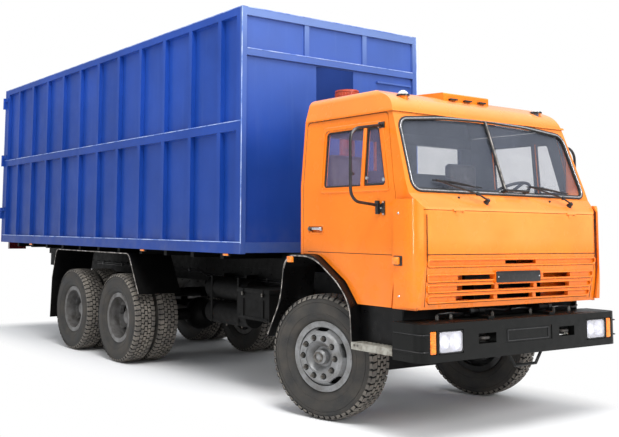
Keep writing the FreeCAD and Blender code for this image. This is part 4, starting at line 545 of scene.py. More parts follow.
class Shape:
    """One piece in the making: shapes are added to its mesh, which then goes on its body."""

    def __init__(self, name, body, *finishes):
        self.name = name
        self.body = body
        self.finishes = finishes
        self.bm = bmesh.new()

    def join(self, mesh, place=None):
        """Adds a mesh's shapes at a place and removes the mesh."""
        if place:
            mesh.transform(place)
        self.bm.from_mesh(mesh)
        bpy.data.meshes.remove(mesh)
        return self

    def box(self, corner, other, radius=0.003, turn=None):
        """A block between two corners with rounded edges, or one turned about its middle."""
        corner, other = Vector(corner), Vector(other)
        place = Matrix.Translation((corner + other) / 2)
        if turn is not None:
            place = place @ turn.to_4x4()
        block(self.bm, [abs(c) for c in other - corner], place, radius, 2)
        return self

    def bar(self, start, end, radius, sides=16, end_radius=None):
        """A round or many-sided bar between two points, tapered where two radii are given."""
        start, end = Vector(start), Vector(end)
        way = end - start
        bmesh.ops.create_cone(self.bm, cap_ends=True, segments=sides, radius1=radius,
                              radius2=radius if end_radius is None else end_radius, depth=way.length,
                              matrix=Matrix.Translation((start + end) / 2) @ rod_turn(way))
        return self

    def about(self, centre, half, radius=0.003, turn=None):
        """A block round its middle, given half its size."""
        centre, half = Vector(centre), Vector(half)
        return self.box(centre - half, centre + half, radius, turn)

    def peg(self, spot, way, start, end, *more):
        """A bar along a direction, between two distances from a point."""
        spot, way = Vector(spot), Vector(way)
        return self.bar(spot + way * start, spot + way * end, *more)

    def ball(self, centre, radius, squash=(1, 1, 1)):
        place = Matrix.Translation(centre) @ Matrix.Diagonal((*squash, 1))
        bmesh.ops.create_uvsphere(self.bm, u_segments=20, v_segments=12, radius=radius, matrix=place)
        return self

    def turned(self, profile, centre, way, steps=32):
        """A closed profile of (along, radius) points spun round an axis through a point."""
        bm = bmesh.new()
        verts = [bm.verts.new((radius, 0, along)) for along, radius in profile]
        edges = [bm.edges.new(pair) for pair in zip(verts, verts[1:] + verts[:1])]
        bmesh.ops.spin(bm, geom=verts + edges, cent=(0, 0, 0), axis=UP, angle=2 * math.pi, steps=steps,
                       use_merge=True, use_duplicate=False)
        bmesh.ops.remove_doubles(bm, verts=bm.verts[:], dist=0.00005)
        return self.join(drawn(bm, "turned"), Matrix.Translation(centre) @ rod_turn(Vector(way)))

    def pipe(self, points, radius, bend=0.03):
        """A bent round pipe whose corners are arcs that begin a bend's length away."""
        points = [Vector(p) for p in points]
        curve = bpy.data.curves.new("pipe_line", "CURVE")
        curve.dimensions = "3D"
        curve.bevel_depth = radius
        curve.bevel_resolution = 3
        curve.resolution_u = 6
        curve.use_fill_caps = True
        spline = curve.splines.new("BEZIER")
        stops = [(points[0], points[0], points[0])]
        for before, corner, after in zip(points, points[1:], points[2:]):
            back, ahead = before - corner, after - corner
            reach = min(bend, back.length * 0.45, ahead.length * 0.45)
            start, end = corner + back.normalized() * reach, corner + ahead.normalized() * reach
            stops.append((start, start, start.lerp(corner, 0.56)))
            stops.append((end, end.lerp(corner, 0.56), end))
        stops.append((points[-1], points[-1], points[-1]))
        spline.bezier_points.add(len(stops) - 1)
        for stop, (place, left, right) in zip(spline.bezier_points, stops):
            stop.handle_left_type = stop.handle_right_type = "FREE"
            stop.co, stop.handle_left, stop.handle_right = place, left, right
        holder = bpy.data.objects.new("pipe_line", curve)
        mesh = bpy.data.meshes.new_from_object(holder)
        bpy.data.objects.remove(holder)
        return self.join(mesh)

    def plate(self, points, way, thick, corner=0.0, radius=0.0, hole=None, segments=5):
        """A flat outline thickened along a direction; its corners and its edges may be rounded."""
        face = self.bm.faces.new([self.bm.verts.new(p) for p in points])
        if corner:
            made = bevel(self.bm, list(face.verts), corner, segments, "VERTICES")
            face = max((f for v in made["verts"] for f in v.link_faces), key=lambda f: f.calc_area())
        faces = [face]
        if hole:
            made = bmesh.ops.inset_region(self.bm, faces=[face], thickness=hole,
                                          use_boundary=True, use_even_offset=True)
            faces = made["faces"]
            bmesh.ops.delete(self.bm, geom=[face], context="FACES_ONLY")
        made = bmesh.ops.extrude_face_region(self.bm, geom=faces, use_keep_orig=True)
        verts = [g for g in made["geom"] if isinstance(g, bmesh.types.BMVert)]
        bmesh.ops.translate(self.bm, verts=verts, vec=Vector(way).normalized() * thick)
        if radius:
            rim = [e for e in {e for v in verts for e in v.link_edges}
                   if all(v in verts for v in e.verts) and len(e.link_faces) == 2
                   and e.calc_face_angle(0) > 0.5]
            bevel(self.bm, rim, radius, 3)
        return self

    def moved(self, matrix):
        bmesh.ops.transform(self.bm, matrix=matrix, verts=self.bm.verts[:])
        return self

    def done(self, *nodes, crease=35):
        """Closes the mesh, turns its faces outwards and puts it on its body."""
        bmesh.ops.remove_doubles(self.bm, verts=self.bm.verts[:], dist=0.00002)
        bmesh.ops.recalc_face_normals(self.bm, faces=self.bm.faces[:])
        for face in self.bm.faces:
            face.smooth = True
        for edge in self.bm.edges:
            if len(edge.link_faces) == 2 and edge.calc_face_angle(0) > math.radians(crease):
                edge.smooth = False
        mesh = drawn(self.bm, self.name)
        for name in self.finishes:
            mesh.materials.append(finish(name))
        piece = placed(self.name, mesh)
        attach(piece, self.body)
        if nodes:
            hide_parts(*nodes)


def on_side(value, side):
    """A point, or each point of a list, on one side of the truck's middle plane."""
    if isinstance(value, list):
        return [on_side(one, side) for one in value]
    if isinstance(value, (tuple, Vector)) and len(value) == 3:
        return Vector((value[0], side * value[1], value[2]))
    return value


def pair(add, *values, **more):
    """Adds a shape, given for the left, on both sides of the truck."""
    for side in SIDES.values():
        add(*(on_side(value, side) for value in values), **more)


def all_done(*pieces):
    for piece in pieces:
        piece.done()


def corners(make, low, high, *out):
    """The corners of a rectangle between two (y, z) corners, each put in place by a function."""
    return [make(y, z, *out) for y, z in (low, (high[0], low[1]), high, (low[0], high[1]))]


def collar(low, high, inner, outer, top=None):
    """The closed profile of a ring or disc for turning; its top may be narrower or wider."""
    return [(low, inner), (low, outer), (high, outer if top is None else top), (high, inner)]


def at(x, y, z):
    """A point measured forward from the front axle, in metres."""
    return Vector((FRONT_X + x, y, z))


def screen(y, z, out=0.0):
    """A point on the windscreen's plane, or a little in front of it."""
    x = SCREEN_FOOT[0] - (z - SCREEN_FOOT[1]) * (SCREEN_FOOT[0] - SCREEN_HEAD[0]) / (
        SCREEN_HEAD[1] - SCREEN_FOOT[1])
    return at(x, y, z) + SCREEN_OUT * out


def cowl(y, z, out=0.0):
    """A point on the slope between the windscreen's foot and the nose."""
    share = (SCREEN_FOOT[1] - z) / (SCREEN_FOOT[1] - NOSE_TOP)
    return at(SCREEN_FOOT[0] + share * (NOSE_X - SCREEN_FOOT[0]), y, z) + COWL_OUT * out


def nose(y, z, out=0.0):
    """A point on the lid's face: upright above the crease, sloping back below it."""
    slope = (NOSE_X - CHIN_X) / (NOSE_CREASE - CHIN_Z)
    return at(NOSE_X - max(0.0, NOSE_CREASE - z) * slope + out, y, z)


def bumper_face(out):
    """Gives points on the bumper's front plane, or behind it, from y and z."""
    return lambda y, z: at(BUMPER_X + out, y, z)


def door_y(z):
    """How far out the cab's side stands at a height."""
    return 1.165 if z < 2.010 else 1.165 - (z - 2.010) * 0.053 / 0.590


def door_point(side, x, z, out=0.0):
    """A point on a door's skin, or a little outside it."""
    return at(x, side * (door_y(z) + out), z)


# Sizes and colours that a user would change

class TruckSettings(bpy.types.PropertyGroup):
    cab_colour: FloatVectorProperty(
        name="Cab colour", description="Paint of the cab", subtype="COLOR", min=0, max=1,
        default=srgb(250, 128, 22))
    body_colour: FloatVectorProperty(
        name="Body colour", description="Paint of the load body", subtype="COLOR", min=0, max=1,
        default=srgb(26, 72, 166))
    tread_pitches: IntProperty(
        name="Tread pitches", description="How many times the tread repeats round a tyre",
        min=24, max=90, default=54)
    groove: FloatProperty(
        name="Tread groove", description="Width of the grooves between the tread blocks",
        unit="LENGTH", min=0.004, max=0.03, default=0.0135)
    wheel_nuts: IntProperty(
        name="Wheel nuts", description="Nuts on each wheel", min=5, max=12, default=10)
    nut_circle: FloatProperty(
        name="Nut circle", description="Radius of the circle that the wheel nuts lie on",
        unit="LENGTH", min=0.1, max=0.2, default=0.166)
    seal_width: FloatProperty(
        name="Windscreen seal", description="Width of the rubber round the windscreen",
        unit="LENGTH", min=0.01, max=0.06, default=0.036)
    mirror_tube: FloatProperty(
        name="Mirror tube", description="Radius of the mirror arms' tube",
        unit="LENGTH", min=0.006, max=0.02, default=0.0125)
    seat_swell: FloatProperty(
        name="Seat swell", description="How far a seat cover may puff out",
        unit="LENGTH", min=0.0, max=0.04, default=0.024)
    seam_pitch: FloatProperty(
        name="Seam pitch", description="Distance between the seats' sewn channels",
        unit="LENGTH", min=0.04, max=0.2, default=0.076)


class TRUCK_OT_solids(bpy.types.Operator):
    """Gives every solid of the frame its finish"""
    bl_idname = "truck.solids"
    bl_label = "Finish the solids"

    def execute(self, context):
        for name, obj in frame["nodes"].items():
            word = next(word for start, word in SOLID_FINISHES if name.startswith(start))
            obj.data.materials.clear()
            obj.data.materials.append(finish(word))
        return {"FINISHED"}


# Tyres and wheels

BLOCK, GROOVE = 1, 2
REST_STEER = Matrix.Rotation(math.radians(14), 4, "Z")
TWIN_HALF = 0.1575
HUB_FACE = 0.116
SHOULDER = 0.506

# Half of the tyre's outline, from bead to crown, as (out from its middle, radius)
SIDEWALL = [(0.0870, 0.2640), (0.0872, 0.3020), (0.1000, 0.3060), (0.1120, 0.3150),
            (0.1240, 0.3300), (0.1310, 0.3480), (0.1350, 0.3640), (0.1390, 0.3660),
            (0.1395, 0.3700), (0.1372, 0.3730), (0.1398, 0.3930), (0.1400, 0.4150),
            (0.1388, 0.4380), (0.1360, 0.4560), (0.1322, 0.4580), (0.1316, 0.4610),
            (0.1340, 0.4640), (0.1300, 0.4860), (0.1240, 0.5020), (0.1160, 0.5110),
            (0.1000, 0.5150), (0.0500, RADIUS - 0.016)]

# The tread's rows: how far out, block width, shift in pitches, skew and tilt in degrees
TREAD_ROWS = ((0.0, 0.034, 0.0, 0.0, 0.0), (0.0445, 0.040, 0.5, 14.0, 0.0),
              (0.0955, 0.052, 0.1, -9.0, 7.0))


def wheel_places():
    """Each wheel's name, its tyre's node, its body, its side, its turn and its tyres' centres."""
    places = []
    for word, side in SIDES.items():
        for axle in ("front", "mid", "rear"):
            front = axle == "front"
            ending = ("" if front else "s") + "_" + axle + "_" + word
            centre = middle("tyre" + ending)
            apart = (0,) if front else (TWIN_HALF, -TWIN_HALF)
            centres = [centre + Vector((0, side * y, 0)) for y in apart]
            places.append((axle + "_" + word, "tyre" + ending, "wheel" + ending, side,
                           REST_STEER if front else Matrix.Identity(4), centres))
    return places


def round_axle(count, radius, y, phase=0.0):
    """Points evenly round an axle along Y."""
    angles = (2 * math.pi * (i + phase) / count for i in range(count))
    return [Vector((math.sin(a) * radius, y, math.cos(a) * radius)) for a in angles]


class TRUCK_OT_tyres(bpy.types.Operator):
    """Makes the ten tyres, each a carcass under rows of tread blocks"""
    bl_idname = "truck.tyres"
    bl_label = "Tyres"

    def execute(self, context):
        form = self.one_tyre()
        for name, tyre, body, side, turn, centres in wheel_places():
            shape = Shape("tyre_" + name, body, "tyre_rubber", "block_rubber", "painted_shade_black")
            for centre in centres:
                shape.join(form.copy(), Matrix.Translation(centre) @ turn)
            shape.done(tyre)
        return {"FINISHED"}

    def one_tyre(self):
        """A tyre about the origin, its axle along Y."""
        shape = Shape("tyre_form", "")
        shape.turned(SIDEWALL + [(-a, r) for a, r in reversed(SIDEWALL)], (0, 0, 0), ACROSS, steps=84)
        # The carcass's crown, between and under the tread blocks, takes the near-black finish of painted
        # shade.
        for face in shape.bm.faces:
            spot = face.calc_center_median()
            if math.hypot(spot.x, spot.z) > SHOULDER:
                face.material_index = GROOVE
        shape.join(self.tread())
        bmesh.ops.remove_doubles(shape.bm, verts=shape.bm.verts[:], dist=0.00002)
        return drawn(shape.bm, "tyre_form")

    def tread(self):
        """One pitch of blocks, repeated round the axle."""
        count = settings().tread_pitches
        pitch = 2 * math.pi * RADIUS / count
        long = pitch - settings().groove
        bm = bmesh.new()
        for y, wide, phase, skew, tilt in TREAD_ROWS:
            for way in ((1, -1) if y else (1,)):
                self.tread_block(bm, way * y, wide, long, phase * pitch * way, skew * way, way * tilt)
        for way in (1, -1):
            self.lug(bm, way, long, 0.1 * pitch * way)
        bm.normal_update()
        # The blocks' outward faces take the dusty block finish; their sides take the near-black finish of
        # painted shade in the grooves.
        for face in bm.faces:
            out = face.calc_center_median()
            out.y = 0
            flat = face.normal.dot(out.normalized())
            face.material_index = BLOCK if flat > 0.3 else GROOVE
        bmesh.ops.spin(bm, geom=bm.verts[:] + bm.edges[:] + bm.faces[:], cent=(0, 0, 0), axis=ACROSS,
                       angle=2 * math.pi * (count - 1) / count, steps=count - 1, use_duplicate=True)
        return drawn(bm, "tread")

    def tread_block(self, bm, y, wide, long, along, skew, tilt):
        tall = 0.024
        drop = 0.0005 + abs(y) ** 2 * 0.42
        place = (Matrix.Rotation(along / RADIUS, 4, "Y")
                 @ Matrix.Translation((0, y, RADIUS - drop - tall / 2))
                 @ Matrix.Rotation(math.radians(-tilt), 4, "X")
                 @ Matrix.Rotation(math.radians(skew), 4, "Z"))
        made = bmesh.ops.create_cube(bm, size=1, matrix=place @ Matrix.Diagonal((long, wide, tall, 1)))
        top = [e for e in {e for v in made["verts"] for e in v.link_edges}
               if all(v.co.length > RADIUS - drop - tall / 2 for v in e.verts)]
        bevel(bm, top, 0.0028, 1)

    def lug(self, bm, way, long, along):
        """The part of a shoulder block that runs down the side of the tyre."""
        place = (Matrix.Rotation(along / RADIUS, 4, "Y")
                 @ Matrix.Translation((0, way * 0.1212, RADIUS - 0.0262))
                 @ Matrix.Rotation(math.radians(-62 * way), 4, "X"))
        block(bm, (long * 0.86, 0.032, 0.012), place, 0, 0)


class TRUCK_OT_wheel_nuts(bpy.types.Operator):
    """Makes the nuts and studs on every wheel and the bolts of the hubs, with dark rings of painted shade
    round the nuts and behind the front discs
    """
    bl_idname = "truck.wheel_nuts"
    bl_label = "Wheel nuts"

    def execute(self, context):
        truck = settings()
        for name, tyre, body, side, turn, centres in wheel_places():
            front = name.startswith("front")
            face = TWIN_HALF if front else 0.012
            nuts = Shape("nuts_" + name, body, "nut_steel")
            # Painted shade: a dark recess ring round each nut.
            shade_rings = Shape("nut_wells_" + name, body, "painted_shade_black")
            for spot in round_axle(truck.wheel_nuts, truck.nut_circle, face, 0.5):
                shade_rings.turned(collar(-0.002, 0.003, 0, 0.027, 0.026), spot, ACROSS, 24)
                nuts.peg(spot, ACROSS, 0.004, 0.027, 0.0185, 6, 0.0175)
                nuts.peg(spot, ACROSS, 0.020, 0.038, 0.0105, 12)
            if front:
                head = face + 0.010
                for spot in round_axle(5, 0.106, face - 0.065):
                    nuts.about(spot, (0.010, 0.009, 0.010), 0.002)
                nuts.turned(collar(head - 0.006, head + 0.004, 0.030, 0.045, 0.047), (0, 0, 0), ACROSS, 28)
                # Painted shade: a dark ring behind the front disc's hand holes, standing in for the shaded
                # brake drum.
                shade_rings.turned(collar(-0.030, 0.020, 0.2035, 0.245), (0, 0, 0), ACROSS, 48)
            else:
                for spot in round_axle(10, 0.107, HUB_FACE):
                    nuts.peg(spot, ACROSS, -0.010, 0.009, 0.0105, 6)
            for piece in (nuts, shade_rings):
                if side < 0:
                    piece.moved(Matrix.Rotation(math.pi, 4, "Z"))
                piece.moved(Matrix.Translation((centres[0] + centres[-1]) / 2) @ turn).done()
        return {"FINISHED"}


# Windscreen

def screen_ring(grow, out):
    """The windscreen opening's outline, grown by a width and set out from the glass."""
    foot, head = 1.105 + grow, 1.066 + grow
    low, high = 1.945 - grow, 2.520 + grow
    return [screen(y, z, out) for y, z in (
        (-foot, low), (foot, low), (head, high), (head * 0.5, high + 0.050), (0, high + 0.066),
        (-head * 0.5, high + 0.050), (-head, high))]


class TRUCK_OT_windscreen(bpy.types.Operator):
    """Makes the windscreen's rubber with its bright insert, and the bar between its panes"""
    bl_idname = "truck.windscreen"
    bl_label = "Windscreen trim"

    def execute(self, context):
        wide = settings().seal_width
        Shape("windscreen_rubber", "cab", "seal_rubber").plate(
            screen_ring(wide * 0.55, -0.012), SCREEN_OUT, 0.022, 0.10, 0.005, wide, 8).done()
        Shape("windscreen_insert", "cab", "bright_metal").plate(
            screen_ring(wide * 0.55 - 0.012, 0.004), SCREEN_OUT, 0.0085, 0.09, 0.0025, 0.012, 8).done()
        Shape("windscreen_bar", "cab", "seal_rubber").plate(
            corners(screen, (-0.011, 1.935), (0.023, 2.592)), SCREEN_OUT, 0.012, 0, 0.004).done()
        Shape("windscreen_bar_cap", "cab", "worn_and_highlit_edge").plate(
            corners(screen, (0, 1.960), (0.012, 2.580), 0.011), SCREEN_OUT, 0.004, 0, 0.0015).done()
        return {"FINISHED"}


class TRUCK_OT_wipers(bpy.types.Operator):
    """Makes the two wipers, the grab bar between them and the washer nozzles"""
    bl_idname = "truck.wipers"
    bl_label = "Wipers"

    def execute(self, context):
        wipers = Shape("wipers", "cab", "satin_black")
        for pivot_y, tip_y, tip_z in ((-0.325, -0.850, 2.020), (0.795, 0.330, 2.008)):
            self.wiper(wipers, pivot_y, tip_y, tip_z)
        grab = Shape("screen_grab_bar", "cab", "satin_black")
        low, high, z = -0.035, 0.245, 1.955
        grab.pipe([screen(low, z), screen(low, z, 0.052), screen(high, z, 0.052), screen(high, z)],
                  0.010, 0.020)
        for y in (low, high):
            grab.peg(screen(y, z), SCREEN_OUT, 0.002, 0.026, 0.019, 16, 0.013)
            grab.ball(screen(y, z, 0.050), 0.017)
        jets = Shape("washer_nozzles", "cab", "satin_black")
        for y in (-0.62, 0.56):
            jets.peg(cowl(y, 1.890), COWL_OUT, 0, 0.012, 0.011, 14, 0.007)
        all_done(wipers, grab, jets)
        return {"FINISHED"}

    def wiper(self, shape, pivot_y, tip_y, tip_z):
        """A sprung arm from its spindle up to a blade that lies on the glass."""
        pivot = cowl(pivot_y, 1.856)
        shape.peg(pivot, COWL_OUT, -0.004, 0.030, 0.025, 20, 0.017)
        shape.ball(pivot + COWL_OUT * 0.030, 0.019)
        joint = pivot + COWL_OUT * 0.034
        tip = screen(tip_y, tip_z, 0.030)
        knee = joint.lerp(tip, 0.24) + COWL_OUT * 0.020
        shape.pipe([joint, knee, tip], 0.0075, 0.05)
        spread = (tip - joint).normalized()
        shape.about(knee, (0.011, 0.016, 0.009), 0.004, rod_turn(spread).to_3x3())
        way = 1 if tip_y > pivot_y else -1
        inner = screen(tip_y - way * 0.55, tip_z - 0.040, 0.010)
        outer = screen(tip_y + way * 0.02, tip_z + 0.004, 0.010)
        shape.pipe([inner, outer], 0.0052)

        def along(share, out=0.0):
            return inner + (outer - inner) * share + SCREEN_OUT * out

        for share in (0.16, 0.42, 0.66, 0.92):
            shape.ball(along(share), 0.008, (1, 1.6, 1))
        for a, b in ((0.16, 0.42), (0.66, 0.92)):
            shape.pipe([along(a), along((a + b) / 2, 0.014), along(b)], 0.0034, 0.04)
        yoke = along(0.54, 0.024)
        shape.pipe([along(0.29, 0.012), yoke, along(0.79, 0.012)], 0.0042, 0.06)
        shape.pipe([yoke, tip], 0.0060)


# Doors

class TRUCK_OT_doors(bpy.types.Operator):
    """Makes the doors' window rubbers, quarter bar, window rims, handles and a dark line of painted shadow
    in each door's crease
    """
    bl_idname = "truck.doors"
    bl_label = "Door trim"

    def execute(self, context):
        for word, side in SIDES.items():
            self.rubbers(word, side)
            self.handle(word, side)
            self.pressings(word, side)
        return {"FINISHED"}

    def piece(self, name, word, coat):
        return Shape(name + "_" + word, "door_" + word, coat)

    def pressings(self, word, side):
        # Painted shadow: a thin dark pipe along the door's crease.
        line = [door_point(side, x, 1.430, -0.0028) for x in (-0.090, 0.980)]
        self.piece("door_crease_line", word, "seal_rubber").pipe(line, 0.0026).done()
        ring = [door_point(side, x, z, 0.001) for x, z in (
            (0.300, 1.944), (0.077, 1.944), (0.077, 2.511), (0.805, 2.511), (0.936, 1.944), (0.300, 1.944))]
        self.piece("window_rim_edge", word, "cab_paint").pipe(ring, 0.0075, 0.045).done()

    def rubbers(self, word, side):
        low, high = 1.985, 2.470
        rubber = self.piece("window_rubber", word, "seal_rubber")
        outward = Vector((0, side, 0.09))
        pane = [(0.118, low), (0.594, low), (0.594, high), (0.118, high)]
        quarter = [(0.622, low), (0.880, low), (0.765, high), (0.622, high)]
        for points, wide in ((pane, 0.012), (quarter, 0.018)):
            ring = [door_point(side, x, z, -0.022) for x, z in points]
            rubber.plate(ring, outward, 0.014, 0.030, 0.003, wide)
        post = self.piece("quarter_post", word, "cab_paint")
        ring = [door_point(side, x, z, -0.024) for x, z in (
            (0.590, low), (0.626, low), (0.626, high), (0.590, high))]
        post.plate(ring, outward, 0.027, 0, 0.004)
        latch = self.piece("quarter_latch", word, "bright_metal")
        latch.peg(door_point(side, 0.862, 2.030, -0.004), (0, side, 0), 0, 0.014, 0.016, 18)
        latch.peg(door_point(side, 0.655, 2.050, -0.012), (0, side, 0), 0, 0.012, 0.014, 18)
        all_done(rubber, post, latch)

    def handle(self, word, side):
        x, z, outward = 0.024, 1.625, (0, side, 0)
        cup = self.piece("handle_cup", word, "cab_paint")
        ring = [at(x + a, side * 1.160, z + b) for a, b in (
            (-0.088, -0.040), (0.098, -0.040), (0.098, 0.040), (-0.088, 0.040))]
        cup.plate(ring, outward, 0.008, 0.028, 0.003, 0.013)
        grip = self.piece("handle", word, "bright_metal")
        grip.about(at(x + 0.007, side * 1.166, z + 0.008), (0.067, 0.009, 0.012), 0.006)
        grip.about(at(x + 0.055, side * 1.152, z + 0.003), (0.015, 0.012, 0.013), 0.004)
        button = self.piece("handle_button", word, "nut_steel")
        spot = at(x - 0.084, side * 1.150, z + 0.006)
        button.peg(spot, outward, 0, 0.030, 0.021, 22, 0.018)
        button.peg(spot, outward, 0.028, 0.034, 0.010, 16)
        all_done(cup, grip, button)


class TRUCK_OT_mirror_arms(bpy.types.Operator):
    """Makes the bent mirror tubes with their feet, clamps and lower plates"""
    bl_idname = "truck.mirror_arms"
    bl_label = "Mirror arms"

    def execute(self, context):
        for word, side in SIDES.items():
            self.arm(word, side, (0, side, 0))
        return {"FINISHED"}

    def arm(self, word, side, outward):
        arm = Shape("mirror_arm_" + word, "door_" + word, "satin_black")
        x, out, foot = 0.800, 1.468, door_y(2.479) + 0.006
        tube = [(foot, 2.479), (out, 2.425), (out, 1.852), (1.175, 1.824)]
        arm.pipe([at(x, side * y, z) for y, z in tube], settings().mirror_tube, 0.095)
        top = at(x, side * foot, 2.479)
        arm.peg(top, outward, -0.006, 0.024, 0.021, 18, 0.017)
        arm.about(top, (0.034, 0.005, 0.026))
        for y, low, high, radius in ((1.182, 1.752, 1.846, 0.016), (1.182, 1.835, 1.860, 0.020),
                                     (out - 0.007, 2.052, 2.078, 0.0185)):
            arm.bar(at(x, side * y, low), at(x, side * y, high), radius, 18)
        arm.about(at(x - 0.003, side * (out - 0.017), 2.065), (0.013, 0.017, 0.007))
        bow = [at(x + a, side * 1.167, 1.800 + b) for a, b in (
            (0.006, -0.020), (0.074, -0.060), (0.074, 0.060), (0.006, 0.020))]
        arm.plate(bow, outward, 0.007, 0.006, 0.002)
        arm.about(at(x, side * 1.170, 1.800), (0.020, 0.006, 0.042))
        arm.done("mirror_arm_" + word)
        bolts = Shape("mirror_bolts_" + word, "door_" + word, "bright_metal")
        for a, z in ((0.064, 1.752), (0.064, 1.848), (0.040, 1.800)):
            bolts.peg(at(x + a, side * 1.172, z), outward, 0, 0.009, 0.008, 6)
        for z in (2.460, 2.497):
            bolts.peg(door_point(side, x - 0.022, z, 0.008), outward, 0, 0.010, 0.006, 6)
        bolts.done()


# Cab front and roof

# The pressed ribs below the lid's crease, as (height, half width)
LID_RIBS = ((1.375, 1.078), (1.258, 1.066), (1.176, 1.052), (1.094, 1.040))


class TRUCK_OT_cab_trim(bpy.types.Operator):
    """Makes the small parts on the cab's front corners and lid"""
    bl_idname = "truck.cab_trim"
    bl_label = "Cab front trim"

    def execute(self, context):
        self.front_corners()
        self.lid()
        return {"FINISHED"}

    def front_corners(self):
        amber = Shape("corner_ambers", "cab", "amber_lens")
        base = Shape("corner_amber_bases", "cab", "satin_black")
        screws = Shape("corner_screws", "cab", "bright_metal")
        pair(base.box, at(1.010, 1.204, 1.352), at(1.098, 1.216, 1.428), 0.004)
        pair(amber.box, at(1.012, 1.209, 1.360), at(1.078, 1.240, 1.420), 0.010)
        for side in SIDES.values():
            for z in (1.118, 1.757):
                screws.peg(at(1.060, side * 1.208, z), (0, side, 0), 0, 0.007, 0.011, 14, 0.007)
        all_done(amber, base, screws)

    def lid(self):
        ribs = Shape("lid_ribs", "front_lid", "cab_paint")
        # Thin dark pipes: a painted shadow along the lid's crease and under each pressed rib, and the dark
        # gap lines at the lid's sides.
        crease = Shape("lid_shadow_lines", "front_lid", "painted_shade_black")
        crease.pipe([nose(-1.080, 1.440, -0.001), nose(1.080, 1.440, -0.001)], 0.0034)
        for z, half in LID_RIBS:
            slope = nose(0, z + 0.03) - nose(0, z - 0.03)
            ring = corners(nose, (-half - 0.004, z - 0.033), (half + 0.004, z + 0.033), -0.002)
            ribs.plate(ring, (slope.z, 0, -slope.x), 0.013, 0.030, 0.004, 0.013)
            shade = [nose(way * (half - 0.018), z - 0.0365, -0.001) for way in (-1, 1)]
            crease.pipe(shade, 0.0024)
        pair(crease.pipe, [nose(1.086, 1.748, -0.001), nose(1.084, 1.440, -0.001),
                           nose(1.060, 1.040, -0.001)], 0.0034, 0.02)
        plate = Shape("badge_plate", "front_lid", "satin_black")
        edge = corners(lambda y, z: at(NOSE_X - 0.006, y, z), (-0.283, 1.210), (0.288, 1.302))
        plate.plate(edge, ALONG, 0.006, 0.012, 0.003)
        bolts = Shape("lid_bolts", "front_lid", "bright_metal")
        for y in (-0.262, 0.267):
            bolts.peg(at(NOSE_X, y, 1.256), ALONG, -0.002, 0.003, 0.007, 12)
        all_done(ribs, crease, plate, bolts)


class TRUCK_OT_roof(bpy.types.Operator):
    """Makes the marker lamps on the roof and the hatch's catches"""
    bl_idname = "truck.roof"
    bl_label = "Roof trim"

    def execute(self, context):
        base = Shape("roof_lamp_bases", "cab", "satin_black")
        lens = Shape("roof_lamp_lenses", "cab", "clear_lens")
        for side in SIDES.values():
            place = at(0.800, side * 0.880, 2.740)
            base.turned([(0, 0), (0, 0.056), (0.012, 0.055), (0.016, 0.049), (0.016, 0)], place, UP, 28)
            lens.turned([(0.014, 0), (0.014, 0.044), (0.026, 0.042), (0.038, 0.033), (0.048, 0.018),
                         (0.052, 0)], place, UP, 28)
        base.done()
        lens.done(crease=50)
        catches = Shape("hatch_catches", "cab", "satin_black")
        for y in (-0.19, 0.0, 0.19):
            catches.about(at(0.734, y, 2.783), (0.018, 0.045, 0.007))
        catches.done()
        return {"FINISHED"}


# Front end

class TRUCK_OT_lamps(bpy.types.Operator):
    """Makes the headlamps and indicators: housings, reflectors, bulbs and lenses"""
    bl_idname = "truck.lamps"
    bl_label = "Front lamps"

    def execute(self, context):
        frames = Shape("lamp_frames", "chassis", "satin_black")
        mirrors = Shape("lamp_reflectors", "chassis", "lamp_mirror")
        bulbs = Shape("lamp_bulbs", "chassis", "lit_bulb")
        lenses = Shape("lamp_lenses", "chassis", "lamp_glass")
        ambers = Shape("front_ambers", "chassis", "amber_lens")
        x, z = BUMPER_X, 0.785

        def ring(y, wide, tall, out):
            return corners(bumper_face(out), (y - wide, z - tall), (y + wide, z + tall))

        for side in SIDES.values():
            y, amber_y = side * 0.928, side * 1.120
            frames.plate(ring(y, 0.135, 0.085, -0.036), ALONG, 0.036, 0.020, 0.003, 0.009)
            frames.about(at(x - 0.0365, y, z), (0.002, 0.13, 0.08), 0.001)
            for way, wide in ((-1, 0.050), (1, 0.064)):
                centre = at(x - 0.033, y + way * 0.060, z)
                mirrors.turned([(0, 0), (0, wide * 0.55), (0.018, wide * 0.93), (0.020, wide),
                                (0.015, wide), (-0.001, wide * 0.60), (-0.001, 0)], centre, ALONG, 36)
                bulbs.ball(centre + Vector((0.012, 0, 0)), 0.0105)
            lenses.plate(ring(y, 0.128, 0.078, -0.012), ALONG, 0.012, 0.030, 0.005)
            ambers.plate(ring(amber_y, 0.033, 0.085, -0.038), ALONG, 0.034, 0.010, 0.005)
            for i in range(8):
                ambers.about(at(x - 0.003, amber_y, z - 0.066 + i * 0.019), (0.002, 0.027, 0.006), 0.0015)
        frames.done("front_lamps")
        mirrors.done(crease=50)
        all_done(bulbs, lenses, ambers)
        return {"FINISHED"}


